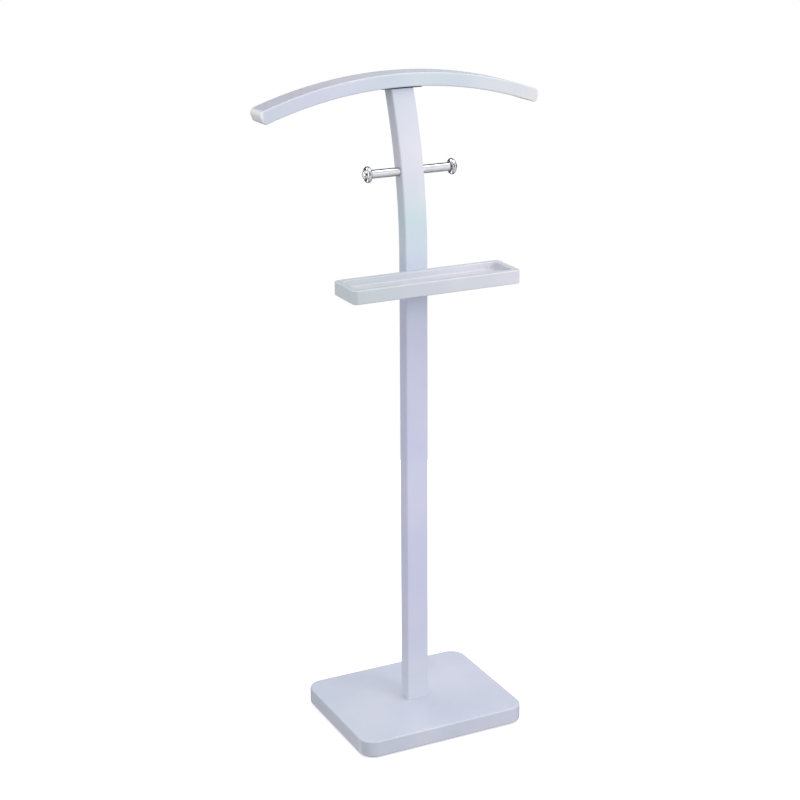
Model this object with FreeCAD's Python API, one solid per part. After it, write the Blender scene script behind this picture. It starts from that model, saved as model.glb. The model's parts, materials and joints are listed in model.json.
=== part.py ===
import FreeCAD
import Part

import math
import os

from FreeCAD import Vector

# A free-standing valet stand in painted wood, in millimetres.
# A rounded base board carries one flat-sided post, which rises straight, then bows back above a
# shallow tray.  An arched hanger bar sits on the post's head over a thin steel plate.  Two plated
# pegs with turned knobs stand out of the post's sides.  +Z is up, +Y points to the back, and the
# origin is on the floor under the middle of the base board.

# ---------------------------------------------------------------- driving dimensions
# Heights: the hanger bar's crown, and drops from it
TOTAL_HEIGHT = 1130.5
BOW_DROP = 299.0  # to the height at which the post's bow starts
TRAY_DROP = 315.5  # to the tray's rim
PEG_DROP = 155.0  # to the pegs' axis

# Base board and the pads under it
BASE_WIDTH = 311.0
BASE_DEPTH = 255.0
BASE_THICKNESS = 30.0
BASE_CORNER_RADIUS = 28.0
BASE_TOP_EDGE_RADIUS = 4.0
BASE_UNDER_EDGE_RADIUS = 4.0
PAD_RADIUS = 11.0
PAD_THICKNESS = 2.5
PAD_EDGE_RADIUS = 0.8
PAD_INSET = 24.0  # from each side of the base to the pad's centre

# Post
POST_WIDTH = 40.5
POST_DEPTH = 26.0
POST_EDGE_RADIUS = 2.5
POST_FRONT_Y = -16.5  # front face of the straight part
POST_BOW_RADIUS = 775.0  # of the front face, about an axis behind the post
BOW_SPANS = 6  # arcs that the bow is drawn in

# Tray
TRAY_WIDTH = 303.0
TRAY_DEPTH = 80.0
TRAY_THICKNESS = 23.0
TRAY_CORNER_RADIUS = 9.0
TRAY_EDGE_RADIUS = 2.0
TRAY_RIM = 11.0
TRAY_RECESS_DEPTH = 12.0
TRAY_RECESS_CORNER_RADIUS = 8.0
TRAY_RECESS_FLOOR_RADIUS = 3.0
TRAY_RIM_EDGE_RADIUS = 1.2

# Hanger bar
HANGER_HALF_WIDTH = 251.0
HANGER_THICKNESS = 22.5
HANGER_DEPTH = 46.0
HANGER_TOP_RADIUS = 735.0
HANGER_TOP_END_RADIUS = 9.0
HANGER_UNDER_END_RADIUS = 5.0
HANGER_EDGE_RADIUS = 2.5

# Head plate between the post and the hanger bar
PLATE_OVERHANG = 16.75  # past each side of the post
PLATE_DEPTH = 26.0
PLATE_THICKNESS = 3.5
PLATE_CORNER_RADIUS = 3.0

# Pegs
PEG_FORWARD = 3.0  # ahead of the middle of the post's side
PEG_RADIUS = 7.0
PEG_LENGTH = 52.0
PEG_CHAMFER = 0.6
STUD_RADIUS = 3.0
STUD_ENGAGEMENT = 18.0  # of the stud in each peg
KNOB_RIM_RADIUS = 13.3
KNOB_RIM_THICKNESS = 8.0
KNOB_DOME_RADIUS = 8.6
KNOB_DOME_HEIGHT = 5.2
KNOB_SPIGOT_RADIUS = 3.0
KNOB_SPIGOT_LENGTH = 12.0

# Post to base: two bolts into threaded inserts, and a dowel between them
BOLT_RADIUS = 3.0
BOLT_EDGE = 7.5  # from the post's side to the bolt's axis
BOLT_BITE = 17.0  # in the insert
BOLT_HEAD_RADIUS = 5.0
BOLT_HEAD_HEIGHT = 6.0
BOLT_SOCKET_ACROSS_FLATS = 5.0
BOLT_SOCKET_DEPTH = 3.0
BOLT_RECESS_RADIUS = 7.5
BOLT_RECESS_DEPTH = 12.0
WASHER_RADIUS = 6.25
WASHER_THICKNESS = 1.6
INSERT_RADIUS = 4.5
INSERT_LENGTH = 20.0
DOWEL_RADIUS = 3.0
DOWEL_LENGTH = 36.0
DOWEL_CHAMFER = 1.0

# Wood screws
TRAY_SCREW_RADIUS = 2.5
TRAY_SCREW_BITE = 25.0  # in the tray
TRAY_SCREW_HEAD_RADIUS = 4.6
TRAY_SCREW_EDGE = 10.25  # from the post's side to the screw's axis
TRAY_SCREW_RECESS_RADIUS = 5.0
TRAY_SCREW_RECESS_DEPTH = 5.0
CAP_RADIUS = 6.5
CAP_THICKNESS = 1.4
CAP_EDGE_RADIUS = 1.1
CAP_STEM_LENGTH = 1.4
PLATE_SCREW_RADIUS = 2.25
PLATE_SCREW_HEAD_RADIUS = 4.5
HANGER_SCREW_BITE = 14.5  # in the hanger bar
HANGER_SCREW_EDGE = 8.75  # from the post's side out to the screw's axis
POST_SCREW_BITE = 24.5  # in the post
POST_SCREW_EDGE = 10.25  # from the post's side in to the screw's axis
POST_SCREW_FORWARD = 4.0  # ahead of the plate's middle, so that the screws stay inside the bow
SCREW_TIP_LENGTH = 5.0
SCREW_TIP_RADIUS = 0.5
CROSS_ARM = 2.6  # half-length of a cross recess
CROSS_WIDTH = 1.1
CROSS_DEPTH = 1.3

# Clearances
HOLE_CLEARANCE = 0.25  # radial, round bolts, studs and screws in plain holes
SEAT_CLEARANCE = 0.02  # radial, round inserts, dowels and threads in their holes
PLATE_SEAT_CLEARANCE = 0.5  # round the plate in the hanger's seat
PLATE_SEAT_DEPTH = 0.2  # above the middle of the hanger's underside

# ---------------------------------------------------------------- places worked out from them
BASE_UNDER_Z = PAD_THICKNESS
BASE_TOP_Z = BASE_UNDER_Z + BASE_THICKNESS
POST_STRAIGHT_TOP = TOTAL_HEIGHT - BOW_DROP
POST_CENTRE_Y = POST_FRONT_Y + POST_DEPTH / 2
POST_BACK_Y = POST_FRONT_Y + POST_DEPTH
BOW_CENTRE = (POST_FRONT_Y + POST_BOW_RADIUS, POST_STRAIGHT_TOP)  # (y, z)
TRAY_TOP_Z = TOTAL_HEIGHT - TRAY_DROP
TRAY_UNDER_Z = TRAY_TOP_Z - TRAY_THICKNESS
TRAY_FLOOR_Z = TRAY_TOP_Z - TRAY_RECESS_DEPTH
TRAY_CENTRE_Y = POST_FRONT_Y - TRAY_DEPTH / 2
HANGER_UNDER_RADIUS = HANGER_TOP_RADIUS - HANGER_THICKNESS
HANGER_ARC_Z = TOTAL_HEIGHT - HANGER_TOP_RADIUS
HANGER_END_ANGLE = math.asin(
    (HANGER_HALF_WIDTH - HANGER_TOP_END_RADIUS) / (HANGER_TOP_RADIUS - HANGER_TOP_END_RADIUS)
)
PLATE_LENGTH = POST_WIDTH + 2 * PLATE_OVERHANG
PLATE_SEAT_Z = TOTAL_HEIGHT - HANGER_THICKNESS + PLATE_SEAT_DEPTH
POST_TOP_Z = PLATE_SEAT_Z - PLATE_THICKNESS
PEG_Z = TOTAL_HEIGHT - PEG_DROP
BOLT_X = POST_WIDTH / 2 - BOLT_EDGE
BOLT_SEAT_Z = BASE_UNDER_Z + BOLT_RECESS_DEPTH
BOLT_LENGTH = WASHER_THICKNESS + BASE_THICKNESS - BOLT_RECESS_DEPTH + BOLT_BITE
TRAY_SCREW_X = POST_WIDTH / 2 - TRAY_SCREW_EDGE
TRAY_SCREW_LENGTH = POST_DEPTH - TRAY_SCREW_RECESS_DEPTH + TRAY_SCREW_BITE
HANGER_SCREW_X = POST_WIDTH / 2 + HANGER_SCREW_EDGE
HANGER_SCREW_LENGTH = PLATE_THICKNESS + HANGER_SCREW_BITE
POST_SCREW_X = POST_WIDTH / 2 - POST_SCREW_EDGE
POST_SCREW_LENGTH = PLATE_THICKNESS + POST_SCREW_BITE


def bow_y(height, radius):
    """Y of a face of the bowed post, of the given radius, at a height above the straight part."""
    return BOW_CENTRE[0] - math.sqrt(radius**2 - (height - BOW_CENTRE[1]) ** 2)


def post_middle_y(height):
    """Y halfway through the bowed post at a height."""
    return bow_y(height, POST_BOW_RADIUS - POST_DEPTH / 2)


HANGER_CENTRE_Y = post_middle_y(POST_TOP_Z)
PEG_Y = post_middle_y(PEG_Z) - PEG_FORWARD

X_AXIS = Vector(1, 0, 0)
Y_AXIS = Vector(0, 1, 0)
Z_AXIS = Vector(0, 0, 1)
SIDES = {"left": -1, "right": 1}


# ---------------------------------------------------------------- shape helpers
def both_sides(x):
    """X of a pair of pieces, left then right."""
    return [side * x for side in SIDES.values()]


def rounded_block(width, depth, height, radius, centre_y, bottom_z):
    """A block with rounded upright corners, centred on X = 0."""
    x, y = width / 2, depth / 2
    corner = radius * (1 - math.sqrt(0.5))
    edges = []
    for start, middle, end in (
        ((x - radius, y), (x - corner, y - corner), (x, y - radius)),
        ((x, radius - y), (x - corner, corner - y), (x - radius, -y)),
        ((radius - x, -y), (corner - x, corner - y), (-x, radius - y)),
        ((-x, y - radius), (corner - x, y - corner), (radius - x, y)),
    ):
        points = [Vector(px, py + centre_y, bottom_z) for px, py in (start, middle, end)]
        if edges:
            edges.append(Part.LineSegment(edges[-1].lastVertex().Point, points[0]).toShape())
        edges.append(Part.Arc(*points).toShape())
    closing = Part.LineSegment(edges[-1].lastVertex().Point, edges[0].firstVertex().Point)
    edges.append(closing.toShape())
    return Part.Face(Part.Wire(edges)).extrude(Z_AXIS * height)


def edges_at_height(shape, height):
    """The edges of a shape that lie wholly at one height."""
    found = []
    for edge in shape.Edges:
        box = edge.BoundBox
        if abs(box.ZMin - height) < 1e-4 and abs(box.ZMax - height) < 1e-4:
            found.append(edge)
    return found


def middle_of(edge):
    """The point halfway along an edge."""
    return edge.valueAt((edge.FirstParameter + edge.LastParameter) / 2)


def rod(radius, length, start, direction):
    """A cylinder from a start point along a direction."""
    return Part.makeCylinder(radius, length, start, direction)


def turned(profile, start, direction):
    """A turned piece: profile is a list of (distance along, radius) points, closed along the axis."""
    points = [Vector(radius, 0, along) for along, radius in profile]
    wire = Part.makePolygon([*points, points[0]])
    solid = Part.Face(wire).revolve(Vector(0, 0, 0), Z_AXIS, 360)
    return placed(solid, start, direction)


def placed(solid, start, direction):
    """Turns a piece made along +Z to lie along a direction from a start point."""
    turn = FreeCAD.Rotation(Z_AXIS, direction)
    solid.Placement = FreeCAD.Placement(start, turn).multiply(solid.Placement)
    return solid


def cross_recess(start, direction):
    """The cutter for a cross recess, sunk along a direction from the head's face."""
    arm = Part.makeBox(2 * CROSS_ARM, CROSS_WIDTH, CROSS_DEPTH + 1)
    arm.translate(Vector(-CROSS_ARM, -CROSS_WIDTH / 2, -1))
    other = arm.copy()
    other.rotate(Vector(0, 0, 0), Z_AXIS, 90)
    return placed(arm.fuse(other), start, direction)


def wood_screw(shank_radius, head_radius, length, start, direction):
    """A countersunk wood screw: its head's flat face is at start, and it points along direction."""
    cone_end = head_radius - shank_radius
    body = turned(
        [
            (0, 0),
            (0, head_radius),
            (cone_end, shank_radius),
            (length - SCREW_TIP_LENGTH, shank_radius),
            (length, SCREW_TIP_RADIUS),
            (length, 0),
        ],
        start,
        direction,
    )
    return body.cut(cross_recess(start, direction))


def screw_pocket(shank_radius, head_radius, length, start, direction):
    """The hole that a wood screw fills, with its countersink, for cutting out of wood or steel."""
    radius = shank_radius + SEAT_CLEARANCE
    head = head_radius + SEAT_CLEARANCE
    return turned(
        [
            (-1, 0),
            (-1, head),
            (0, head),
            (head - radius, radius),
            (length - SCREW_TIP_LENGTH + SEAT_CLEARANCE, radius),
            (length + SEAT_CLEARANCE, SCREW_TIP_RADIUS + SEAT_CLEARANCE),
            (length + SEAT_CLEARANCE, 0),
        ],
        start,
        direction,
    )


# ---------------------------------------------------------------- wooden pieces
def base_board():
    """The base: a rounded board with two bolt recesses from below and a dowel hole on top."""
    board = rounded_block(
        BASE_WIDTH, BASE_DEPTH, BASE_THICKNESS, BASE_CORNER_RADIUS, 0, BASE_UNDER_Z
    )
    board = board.makeFillet(BASE_TOP_EDGE_RADIUS, edges_at_height(board, BASE_TOP_Z))
    board = board.makeFillet(BASE_UNDER_EDGE_RADIUS, edges_at_height(board, BASE_UNDER_Z))
    for x in both_sides(BOLT_X):
        under = Vector(x, POST_CENTRE_Y, BASE_UNDER_Z)
        board = board.cut(rod(BOLT_RECESS_RADIUS, BOLT_RECESS_DEPTH, under, Z_AXIS))
        board = board.cut(rod(BOLT_RADIUS + HOLE_CLEARANCE, BASE_THICKNESS, under, Z_AXIS))
    return board.cut(dowel_hole())


def post():
    """The post: straight, then bowed back on arcs about one axis, with eased long edges."""
    front, back = POST_FRONT_Y, POST_BACK_Y
    inner_radius = POST_BOW_RADIUS - POST_DEPTH
    # the bow is made this much too long, in spans of even length, then sawn off level
    spare = POST_DEPTH
    end_angle = math.asin((POST_TOP_Z + spare - POST_STRAIGHT_TOP) / inner_radius)
    steps = [end_angle * step / BOW_SPANS for step in range(BOW_SPANS + 1)]

    def at(y, z):
        return Vector(-POST_WIDTH / 2, y, z)

    def bowed(radius, angle):
        return at(
            BOW_CENTRE[0] - radius * math.cos(angle), BOW_CENTRE[1] + radius * math.sin(angle)
        )

    def spans(radius, angles):
        arcs = []
        for start, end in zip(angles, angles[1:]):
            arcs.append(Part.Arc(*[bowed(radius, a) for a in (start, (start + end) / 2, end)]))
        return [arc.toShape() for arc in arcs]

    feet = at(front, BASE_TOP_Z), at(back, BASE_TOP_Z)
    outline = [
        Part.LineSegment(feet[0], at(front, POST_STRAIGHT_TOP)).toShape(),
        *spans(POST_BOW_RADIUS, steps),
        Part.LineSegment(bowed(POST_BOW_RADIUS, end_angle), bowed(inner_radius, end_angle)).toShape(),
        *spans(inner_radius, steps[::-1]),
        Part.LineSegment(at(back, POST_STRAIGHT_TOP), feet[1]).toShape(),
        Part.LineSegment(feet[1], feet[0]).toShape(),
    ]
    solid = Part.Face(Part.Wire(outline)).extrude(X_AXIS * POST_WIDTH)
    along = [e for e in solid.Edges if e.BoundBox.ZLength > POST_DEPTH]
    solid = solid.makeFillet(POST_EDGE_RADIUS, along)
    waste = Part.makeBox(2 * POST_WIDTH, POST_BOW_RADIUS, 3 * spare)
    waste.translate(Vector(-POST_WIDTH, front, POST_TOP_Z))
    solid = solid.cut(waste)
    for x in both_sides(BOLT_X):
        foot = Vector(x, POST_CENTRE_Y, BASE_TOP_Z)
        solid = solid.cut(rod(INSERT_RADIUS + SEAT_CLEARANCE, INSERT_LENGTH, foot, Z_AXIS))
    solid = solid.cut(dowel_hole())
    for x in both_sides(TRAY_SCREW_X):
        mouth = Vector(x, back, tray_screw_z())
        recess = rod(TRAY_SCREW_RECESS_RADIUS, TRAY_SCREW_RECESS_DEPTH, mouth, -Y_AXIS)
        solid = solid.cut(recess).cut(tray_screw_pocket(x))
    for x in both_sides(POST_SCREW_X):
        solid = solid.cut(post_screw_pocket(x))
    cross_hole = rod(
        STUD_RADIUS + HOLE_CLEARANCE, POST_WIDTH, Vector(-POST_WIDTH / 2, PEG_Y, PEG_Z), X_AXIS
    )
    return solid.cut(cross_hole)


def tray():
    """The tray: a rounded board with a routed recess, screwed to the post's front face."""
    board = rounded_block(
        TRAY_WIDTH, TRAY_DEPTH, TRAY_THICKNESS, TRAY_CORNER_RADIUS, TRAY_CENTRE_Y, TRAY_UNDER_Z
    )
    outer_edges = edges_at_height(board, TRAY_TOP_Z) + edges_at_height(board, TRAY_UNDER_Z)
    board = board.makeFillet(TRAY_EDGE_RADIUS, outer_edges)
    recess = rounded_block(
        TRAY_WIDTH - 2 * TRAY_RIM,
        TRAY_DEPTH - 2 * TRAY_RIM,
        TRAY_RECESS_DEPTH + 1,
        TRAY_RECESS_CORNER_RADIUS,
        TRAY_CENTRE_Y,
        TRAY_FLOOR_Z,
    )
    recess = recess.makeFillet(TRAY_RECESS_FLOOR_RADIUS, edges_at_height(recess, TRAY_FLOOR_Z))
    board = board.cut(recess)
    rim = [e for e in edges_at_height(board, TRAY_TOP_Z) if recess.isInside(middle_of(e), 1e-3, True)]
    board = board.makeFillet(TRAY_RIM_EDGE_RADIUS, rim)
    for x in both_sides(TRAY_SCREW_X):
        board = board.cut(tray_screw_pocket(x))
    return board


def hanger_point(radius, angle):
    """A point of the hanger's front outline, by radius and by angle from the upright."""
    front_y = HANGER_CENTRE_Y - HANGER_DEPTH / 2
    return Vector(radius * math.sin(angle), front_y, HANGER_ARC_Z + radius * math.cos(angle))


def hanger_bar():
    """The hanger bar: an arched band with radial ends, rounded corners and a flat seat below."""
    upper = HANGER_TOP_RADIUS - HANGER_TOP_END_RADIUS
    lower = HANGER_UNDER_RADIUS + HANGER_UNDER_END_RADIUS
    upper_turn = math.asin(HANGER_TOP_END_RADIUS / upper)
    lower_turn = math.asin(HANGER_UNDER_END_RADIUS / lower)
    end = HANGER_END_ANGLE + upper_turn

    def corner(radius, angle, rounding, outward):
        """The middle of a corner's arc, at 45 degrees between the end and the curved face."""
        middle = hanger_point(radius, angle)
        side = 1 if angle > 0 else -1
        along = Vector(side * math.cos(angle), 0, -side * math.sin(angle))
        away = Vector(math.sin(angle), 0, math.cos(angle)) * outward
        return middle + (along + away) * (rounding * math.sqrt(0.5))

    edges = []
    for side in (-1, 1):
        top_angle, under_angle = side * (end - upper_turn), side * (end - lower_turn)
        on_end = side * end
        top_end = hanger_point(upper * math.cos(upper_turn), on_end)
        under_end = hanger_point(lower * math.cos(lower_turn), on_end)
        top_start = hanger_point(HANGER_TOP_RADIUS, top_angle)
        under_start = hanger_point(HANGER_UNDER_RADIUS, under_angle)
        top_corner = corner(upper, top_angle, HANGER_TOP_END_RADIUS, 1)
        under_corner = corner(lower, under_angle, HANGER_UNDER_END_RADIUS, -1)
        edges.append(Part.Arc(top_start, top_corner, top_end).toShape())
        edges.append(Part.LineSegment(top_end, under_end).toShape())
        edges.append(Part.Arc(under_end, under_corner, under_start).toShape())
    for radius, turn in ((HANGER_TOP_RADIUS, upper_turn), (HANGER_UNDER_RADIUS, lower_turn)):
        edges.append(
            Part.Arc(
                hanger_point(radius, turn - end),
                hanger_point(radius, 0),
                hanger_point(radius, end - turn),
            ).toShape()
        )
    outline = Part.Wire(Part.__sortEdges__(edges))
    bar = Part.Face(outline).extrude(Y_AXIS * HANGER_DEPTH)
    rims = [e for e in bar.Edges if e.BoundBox.YLength < 1e-3]
    bar = bar.makeFillet(HANGER_EDGE_RADIUS, rims)
    seat = rounded_block(
        PLATE_LENGTH + 2 * PLATE_SEAT_CLEARANCE,
        PLATE_DEPTH + 2 * PLATE_SEAT_CLEARANCE,
        HANGER_THICKNESS,
        PLATE_CORNER_RADIUS,
        HANGER_CENTRE_Y,
        PLATE_SEAT_Z - HANGER_THICKNESS,
    )
    bar = bar.cut(seat)
    for x in both_sides(HANGER_SCREW_X):
        bar = bar.cut(hanger_screw_pocket(x))
    return bar


# ---------------------------------------------------------------- post foot hardware
def foot_bolt(x):
    """A socket-head bolt, up through the base into the post's insert."""
    seat_z = BOLT_SEAT_Z - WASHER_THICKNESS
    head_z = seat_z - BOLT_HEAD_HEIGHT
    head = rod(BOLT_HEAD_RADIUS, BOLT_HEAD_HEIGHT, Vector(x, POST_CENTRE_Y, head_z), Z_AXIS)
    shank = rod(BOLT_RADIUS, BOLT_LENGTH, Vector(x, POST_CENTRE_Y, seat_z), Z_AXIS)
    corner_radius = BOLT_SOCKET_ACROSS_FLATS / math.sqrt(3)
    corners = []
    for step in range(7):
        angle = math.radians(60 * step)
        corners.append(
            Vector(
                x + corner_radius * math.cos(angle),
                POST_CENTRE_Y + corner_radius * math.sin(angle),
                head_z,
            )
        )
    socket = Part.Face(Part.makePolygon(corners)).extrude(Z_AXIS * BOLT_SOCKET_DEPTH)
    return head.fuse(shank).removeSplitter().cut(socket)


def foot_washer(x):
    """The flat washer between a foot bolt's head and the floor of its recess."""
    under = Vector(x, POST_CENTRE_Y, BOLT_SEAT_Z - WASHER_THICKNESS)
    ring = rod(WASHER_RADIUS, WASHER_THICKNESS, under, Z_AXIS)
    return ring.cut(rod(BOLT_RADIUS + HOLE_CLEARANCE, WASHER_THICKNESS, under, Z_AXIS))


def foot_insert(x):
    """The threaded insert in the post's end, with its own bore for the bolt."""
    foot = Vector(x, POST_CENTRE_Y, BASE_TOP_Z)
    body = rod(INSERT_RADIUS, INSERT_LENGTH, foot, Z_AXIS)
    return body.cut(rod(BOLT_RADIUS + SEAT_CLEARANCE, INSERT_LENGTH, foot, Z_AXIS))


def foot_dowel():
    """The wooden dowel that keeps the post square on the base."""
    start = Vector(0, POST_CENTRE_Y, BASE_TOP_Z - DOWEL_LENGTH / 2)
    pin = rod(DOWEL_RADIUS, DOWEL_LENGTH, start, Z_AXIS)
    ends = [e for e in pin.Edges if e.BoundBox.ZLength < 1e-3]
    return pin.makeChamfer(DOWEL_CHAMFER, ends)


def dowel_hole():
    """The cutter for the dowel's hole in the base and the post."""
    start = Vector(0, POST_CENTRE_Y, BASE_TOP_Z - DOWEL_LENGTH / 2)
    return rod(DOWEL_RADIUS + SEAT_CLEARANCE, DOWEL_LENGTH, start, Z_AXIS)


def foot_pad(side_x, side_y):
    """A round pad stuck under a corner of the base."""
    x = side_x * (BASE_WIDTH / 2 - PAD_INSET)
    y = side_y * (BASE_DEPTH / 2 - PAD_INSET)
    disc = rod(PAD_RADIUS, PAD_THICKNESS, Vector(x, y, 0), Z_AXIS)
    return disc.makeFillet(PAD_EDGE_RADIUS, edges_at_height(disc, 0))


# ---------------------------------------------------------------- tray screws and caps
def tray_screw_z():
    """Height of the tray screws, halfway through the tray's floor."""
    return (TRAY_UNDER_Z + TRAY_FLOOR_Z) / 2


def tray_screw_head(x):
    """The point where a tray screw's head seats, at the bottom of its recess in the post's back."""
    return Vector(x, POST_BACK_Y - TRAY_SCREW_RECESS_DEPTH, tray_screw_z())


def tray_screw(x):
    """A wood screw from the post's back into the tray's floor."""
    return wood_screw(
        TRAY_SCREW_RADIUS, TRAY_SCREW_HEAD_RADIUS, TRAY_SCREW_LENGTH, tray_screw_head(x), -Y_AXIS
    )


def tray_screw_pocket(x):
    """The cutter for a tray screw's hole in the post and the tray."""
    return screw_pocket(
        TRAY_SCREW_RADIUS, TRAY_SCREW_HEAD_RADIUS, TRAY_SCREW_LENGTH, tray_screw_head(x), -Y_AXIS
    )


def screw_cap(x):
    """A push-in cap over a tray screw: a low dome on the post's back with a stem in the recess."""
    back = Vector(x, POST_BACK_Y, tray_screw_z())
    stem_radius = TRAY_SCREW_RECESS_RADIUS - SEAT_CLEARANCE
    dome = rod(CAP_RADIUS, CAP_THICKNESS, back, Y_AXIS)
    outer = [e for e in dome.Edges if e.BoundBox.YMin > back.y + CAP_THICKNESS - 1e-3]
    dome = dome.makeFillet(CAP_EDGE_RADIUS, outer)
    stem = rod(stem_radius, CAP_STEM_LENGTH, back, -Y_AXIS)
    return dome.fuse(stem).removeSplitter()


# ---------------------------------------------------------------- head plate and its screws
def hanger_screw_at(x):
    """The head's face of a hanger screw, flush with the plate's underside."""
    return Vector(x, HANGER_CENTRE_Y, POST_TOP_Z)


def post_screw_at(x):
    """The head's face of a post screw, flush with the plate's top."""
    return Vector(x, HANGER_CENTRE_Y - POST_SCREW_FORWARD, PLATE_SEAT_Z)


def hanger_screw(x):
    """A wood screw up through the plate into the hanger bar."""
    return wood_screw(
        PLATE_SCREW_RADIUS, PLATE_SCREW_HEAD_RADIUS, HANGER_SCREW_LENGTH, hanger_screw_at(x), Z_AXIS
    )


def hanger_screw_pocket(x):
    """The cutter for a hanger screw's hole."""
    return screw_pocket(
        PLATE_SCREW_RADIUS, PLATE_SCREW_HEAD_RADIUS, HANGER_SCREW_LENGTH, hanger_screw_at(x), Z_AXIS
    )


def post_head_screw(x):
    """A wood screw down through the plate into the post's end."""
    return wood_screw(
        PLATE_SCREW_RADIUS, PLATE_SCREW_HEAD_RADIUS, POST_SCREW_LENGTH, post_screw_at(x), -Z_AXIS
    )


def post_screw_pocket(x):
    """The cutter for a post screw's hole."""
    return screw_pocket(
        PLATE_SCREW_RADIUS, PLATE_SCREW_HEAD_RADIUS, POST_SCREW_LENGTH, post_screw_at(x), -Z_AXIS
    )


def head_plate():
    """The steel plate that joins the post's head to the hanger bar."""
    plate = rounded_block(
        PLATE_LENGTH, PLATE_DEPTH, PLATE_THICKNESS, PLATE_CORNER_RADIUS, HANGER_CENTRE_Y, POST_TOP_Z
    )
    for x in both_sides(HANGER_SCREW_X):
        plate = plate.cut(hanger_screw_pocket(x))
    for x in both_sides(POST_SCREW_X):
        plate = plate.cut(post_screw_pocket(x))
    return plate


# ---------------------------------------------------------------- pegs
def peg_stud():
    """The threaded stud through the post that both pegs screw onto."""
    length = POST_WIDTH + 2 * STUD_ENGAGEMENT
    return rod(STUD_RADIUS, length, Vector(-length / 2, PEG_Y, PEG_Z), X_AXIS)


def peg(side):
    """A plated peg: a bar with a tapped hole at each end."""
    out = X_AXIS * side
    inner = Vector(side * POST_WIDTH / 2, PEG_Y, PEG_Z)
    outer = inner + out * PEG_LENGTH
    bar = rod(PEG_RADIUS, PEG_LENGTH, inner, out)
    bar = bar.makeChamfer(PEG_CHAMFER, [e for e in bar.Edges if e.BoundBox.XLength < 1e-3])
    bar = bar.cut(rod(STUD_RADIUS + SEAT_CLEARANCE, STUD_ENGAGEMENT, inner, out))
    return bar.cut(rod(KNOB_SPIGOT_RADIUS + SEAT_CLEARANCE, KNOB_SPIGOT_LENGTH, outer, -out))


def peg_knob(side):
    """A turned knob: a full-round rim, then a smaller dome, with a threaded spigot into the peg."""
    out = X_AXIS * side
    seat = Vector(side * (POST_WIDTH / 2 + PEG_LENGTH), PEG_Y, PEG_Z)
    half = KNOB_RIM_THICKNESS / 2
    waist = KNOB_RIM_RADIUS - half
    face = KNOB_RIM_THICKNESS
    sphere_radius = (KNOB_DOME_RADIUS**2 + KNOB_DOME_HEIGHT**2) / (2 * KNOB_DOME_HEIGHT)
    centre_z = face + KNOB_DOME_HEIGHT - sphere_radius
    shoulder = math.acos((face - centre_z) / sphere_radius) / 2

    def at(radius, along):
        return Vector(radius, 0, along)

    def line(*ends):
        return Part.LineSegment(*ends).toShape()

    dome_middle = at(
        sphere_radius * math.sin(shoulder), centre_z + sphere_radius * math.cos(shoulder)
    )
    crown = at(0, face + KNOB_DOME_HEIGHT)
    spigot_end = -KNOB_SPIGOT_LENGTH
    profile = [
        line(at(0, spigot_end), at(KNOB_SPIGOT_RADIUS, spigot_end)),
        line(at(KNOB_SPIGOT_RADIUS, spigot_end), at(KNOB_SPIGOT_RADIUS, 0)),
        line(at(KNOB_SPIGOT_RADIUS, 0), at(waist, 0)),
        Part.Arc(at(waist, 0), at(KNOB_RIM_RADIUS, half), at(waist, face)).toShape(),
        line(at(waist, face), at(KNOB_DOME_RADIUS, face)),
        Part.Arc(at(KNOB_DOME_RADIUS, face), dome_middle, crown).toShape(),
        line(crown, at(0, spigot_end)),
    ]
    knob = Part.Face(Part.Wire(profile)).revolve(Vector(0, 0, 0), Z_AXIS, 360)
    return placed(knob, seat, out)


# ---------------------------------------------------------------- the assembly
def build():
    """Every piece by its node's name."""
    pieces = {
        "base_board": base_board(),
        "post": post(),
        "tray": tray(),
        "hanger_bar": hanger_bar(),
        "head_plate": head_plate(),
        "peg_stud": peg_stud(),
        "foot_dowel": foot_dowel(),
    }
    for row, side_y in (("front", -1), ("back", 1)):
        for name, side in SIDES.items():
            pieces[f"foot_pad_{row}_{name}"] = foot_pad(side, side_y)
    for name, side in SIDES.items():
        pieces[f"foot_bolt_{name}"] = foot_bolt(side * BOLT_X)
        pieces[f"foot_washer_{name}"] = foot_washer(side * BOLT_X)
        pieces[f"foot_insert_{name}"] = foot_insert(side * BOLT_X)
        pieces[f"tray_screw_{name}"] = tray_screw(side * TRAY_SCREW_X)
        pieces[f"tray_screw_cap_{name}"] = screw_cap(side * TRAY_SCREW_X)
        pieces[f"hanger_screw_{name}"] = hanger_screw(side * HANGER_SCREW_X)
        pieces[f"post_head_screw_{name}"] = post_head_screw(side * POST_SCREW_X)
        pieces[f"peg_{name}"] = peg(side)
        pieces[f"peg_knob_{name}"] = peg_knob(side)
    return pieces


os.makedirs("parts", exist_ok=True)
for node, shape in build().items():
    solids = shape.Solids
    if len(solids) != 1 or not solids[0].isValid():
        raise ValueError(f"{node} is not one valid solid")
    solids[0].exportStep(f"parts/{node}.step")
print("pieces", len(os.listdir("parts")))
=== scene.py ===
"""Looks of a free-standing valet stand: painted wood, plated pegs and the fasteners that join it.

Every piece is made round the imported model, in metres, with +Z up and +Y to the back.
"""

from __future__ import annotations

import json
import logging
import math
from collections.abc import Iterable, Sequence
from dataclasses import dataclass
from enum import Enum

import bmesh
import bpy
from mathutils import Matrix, Vector

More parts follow.
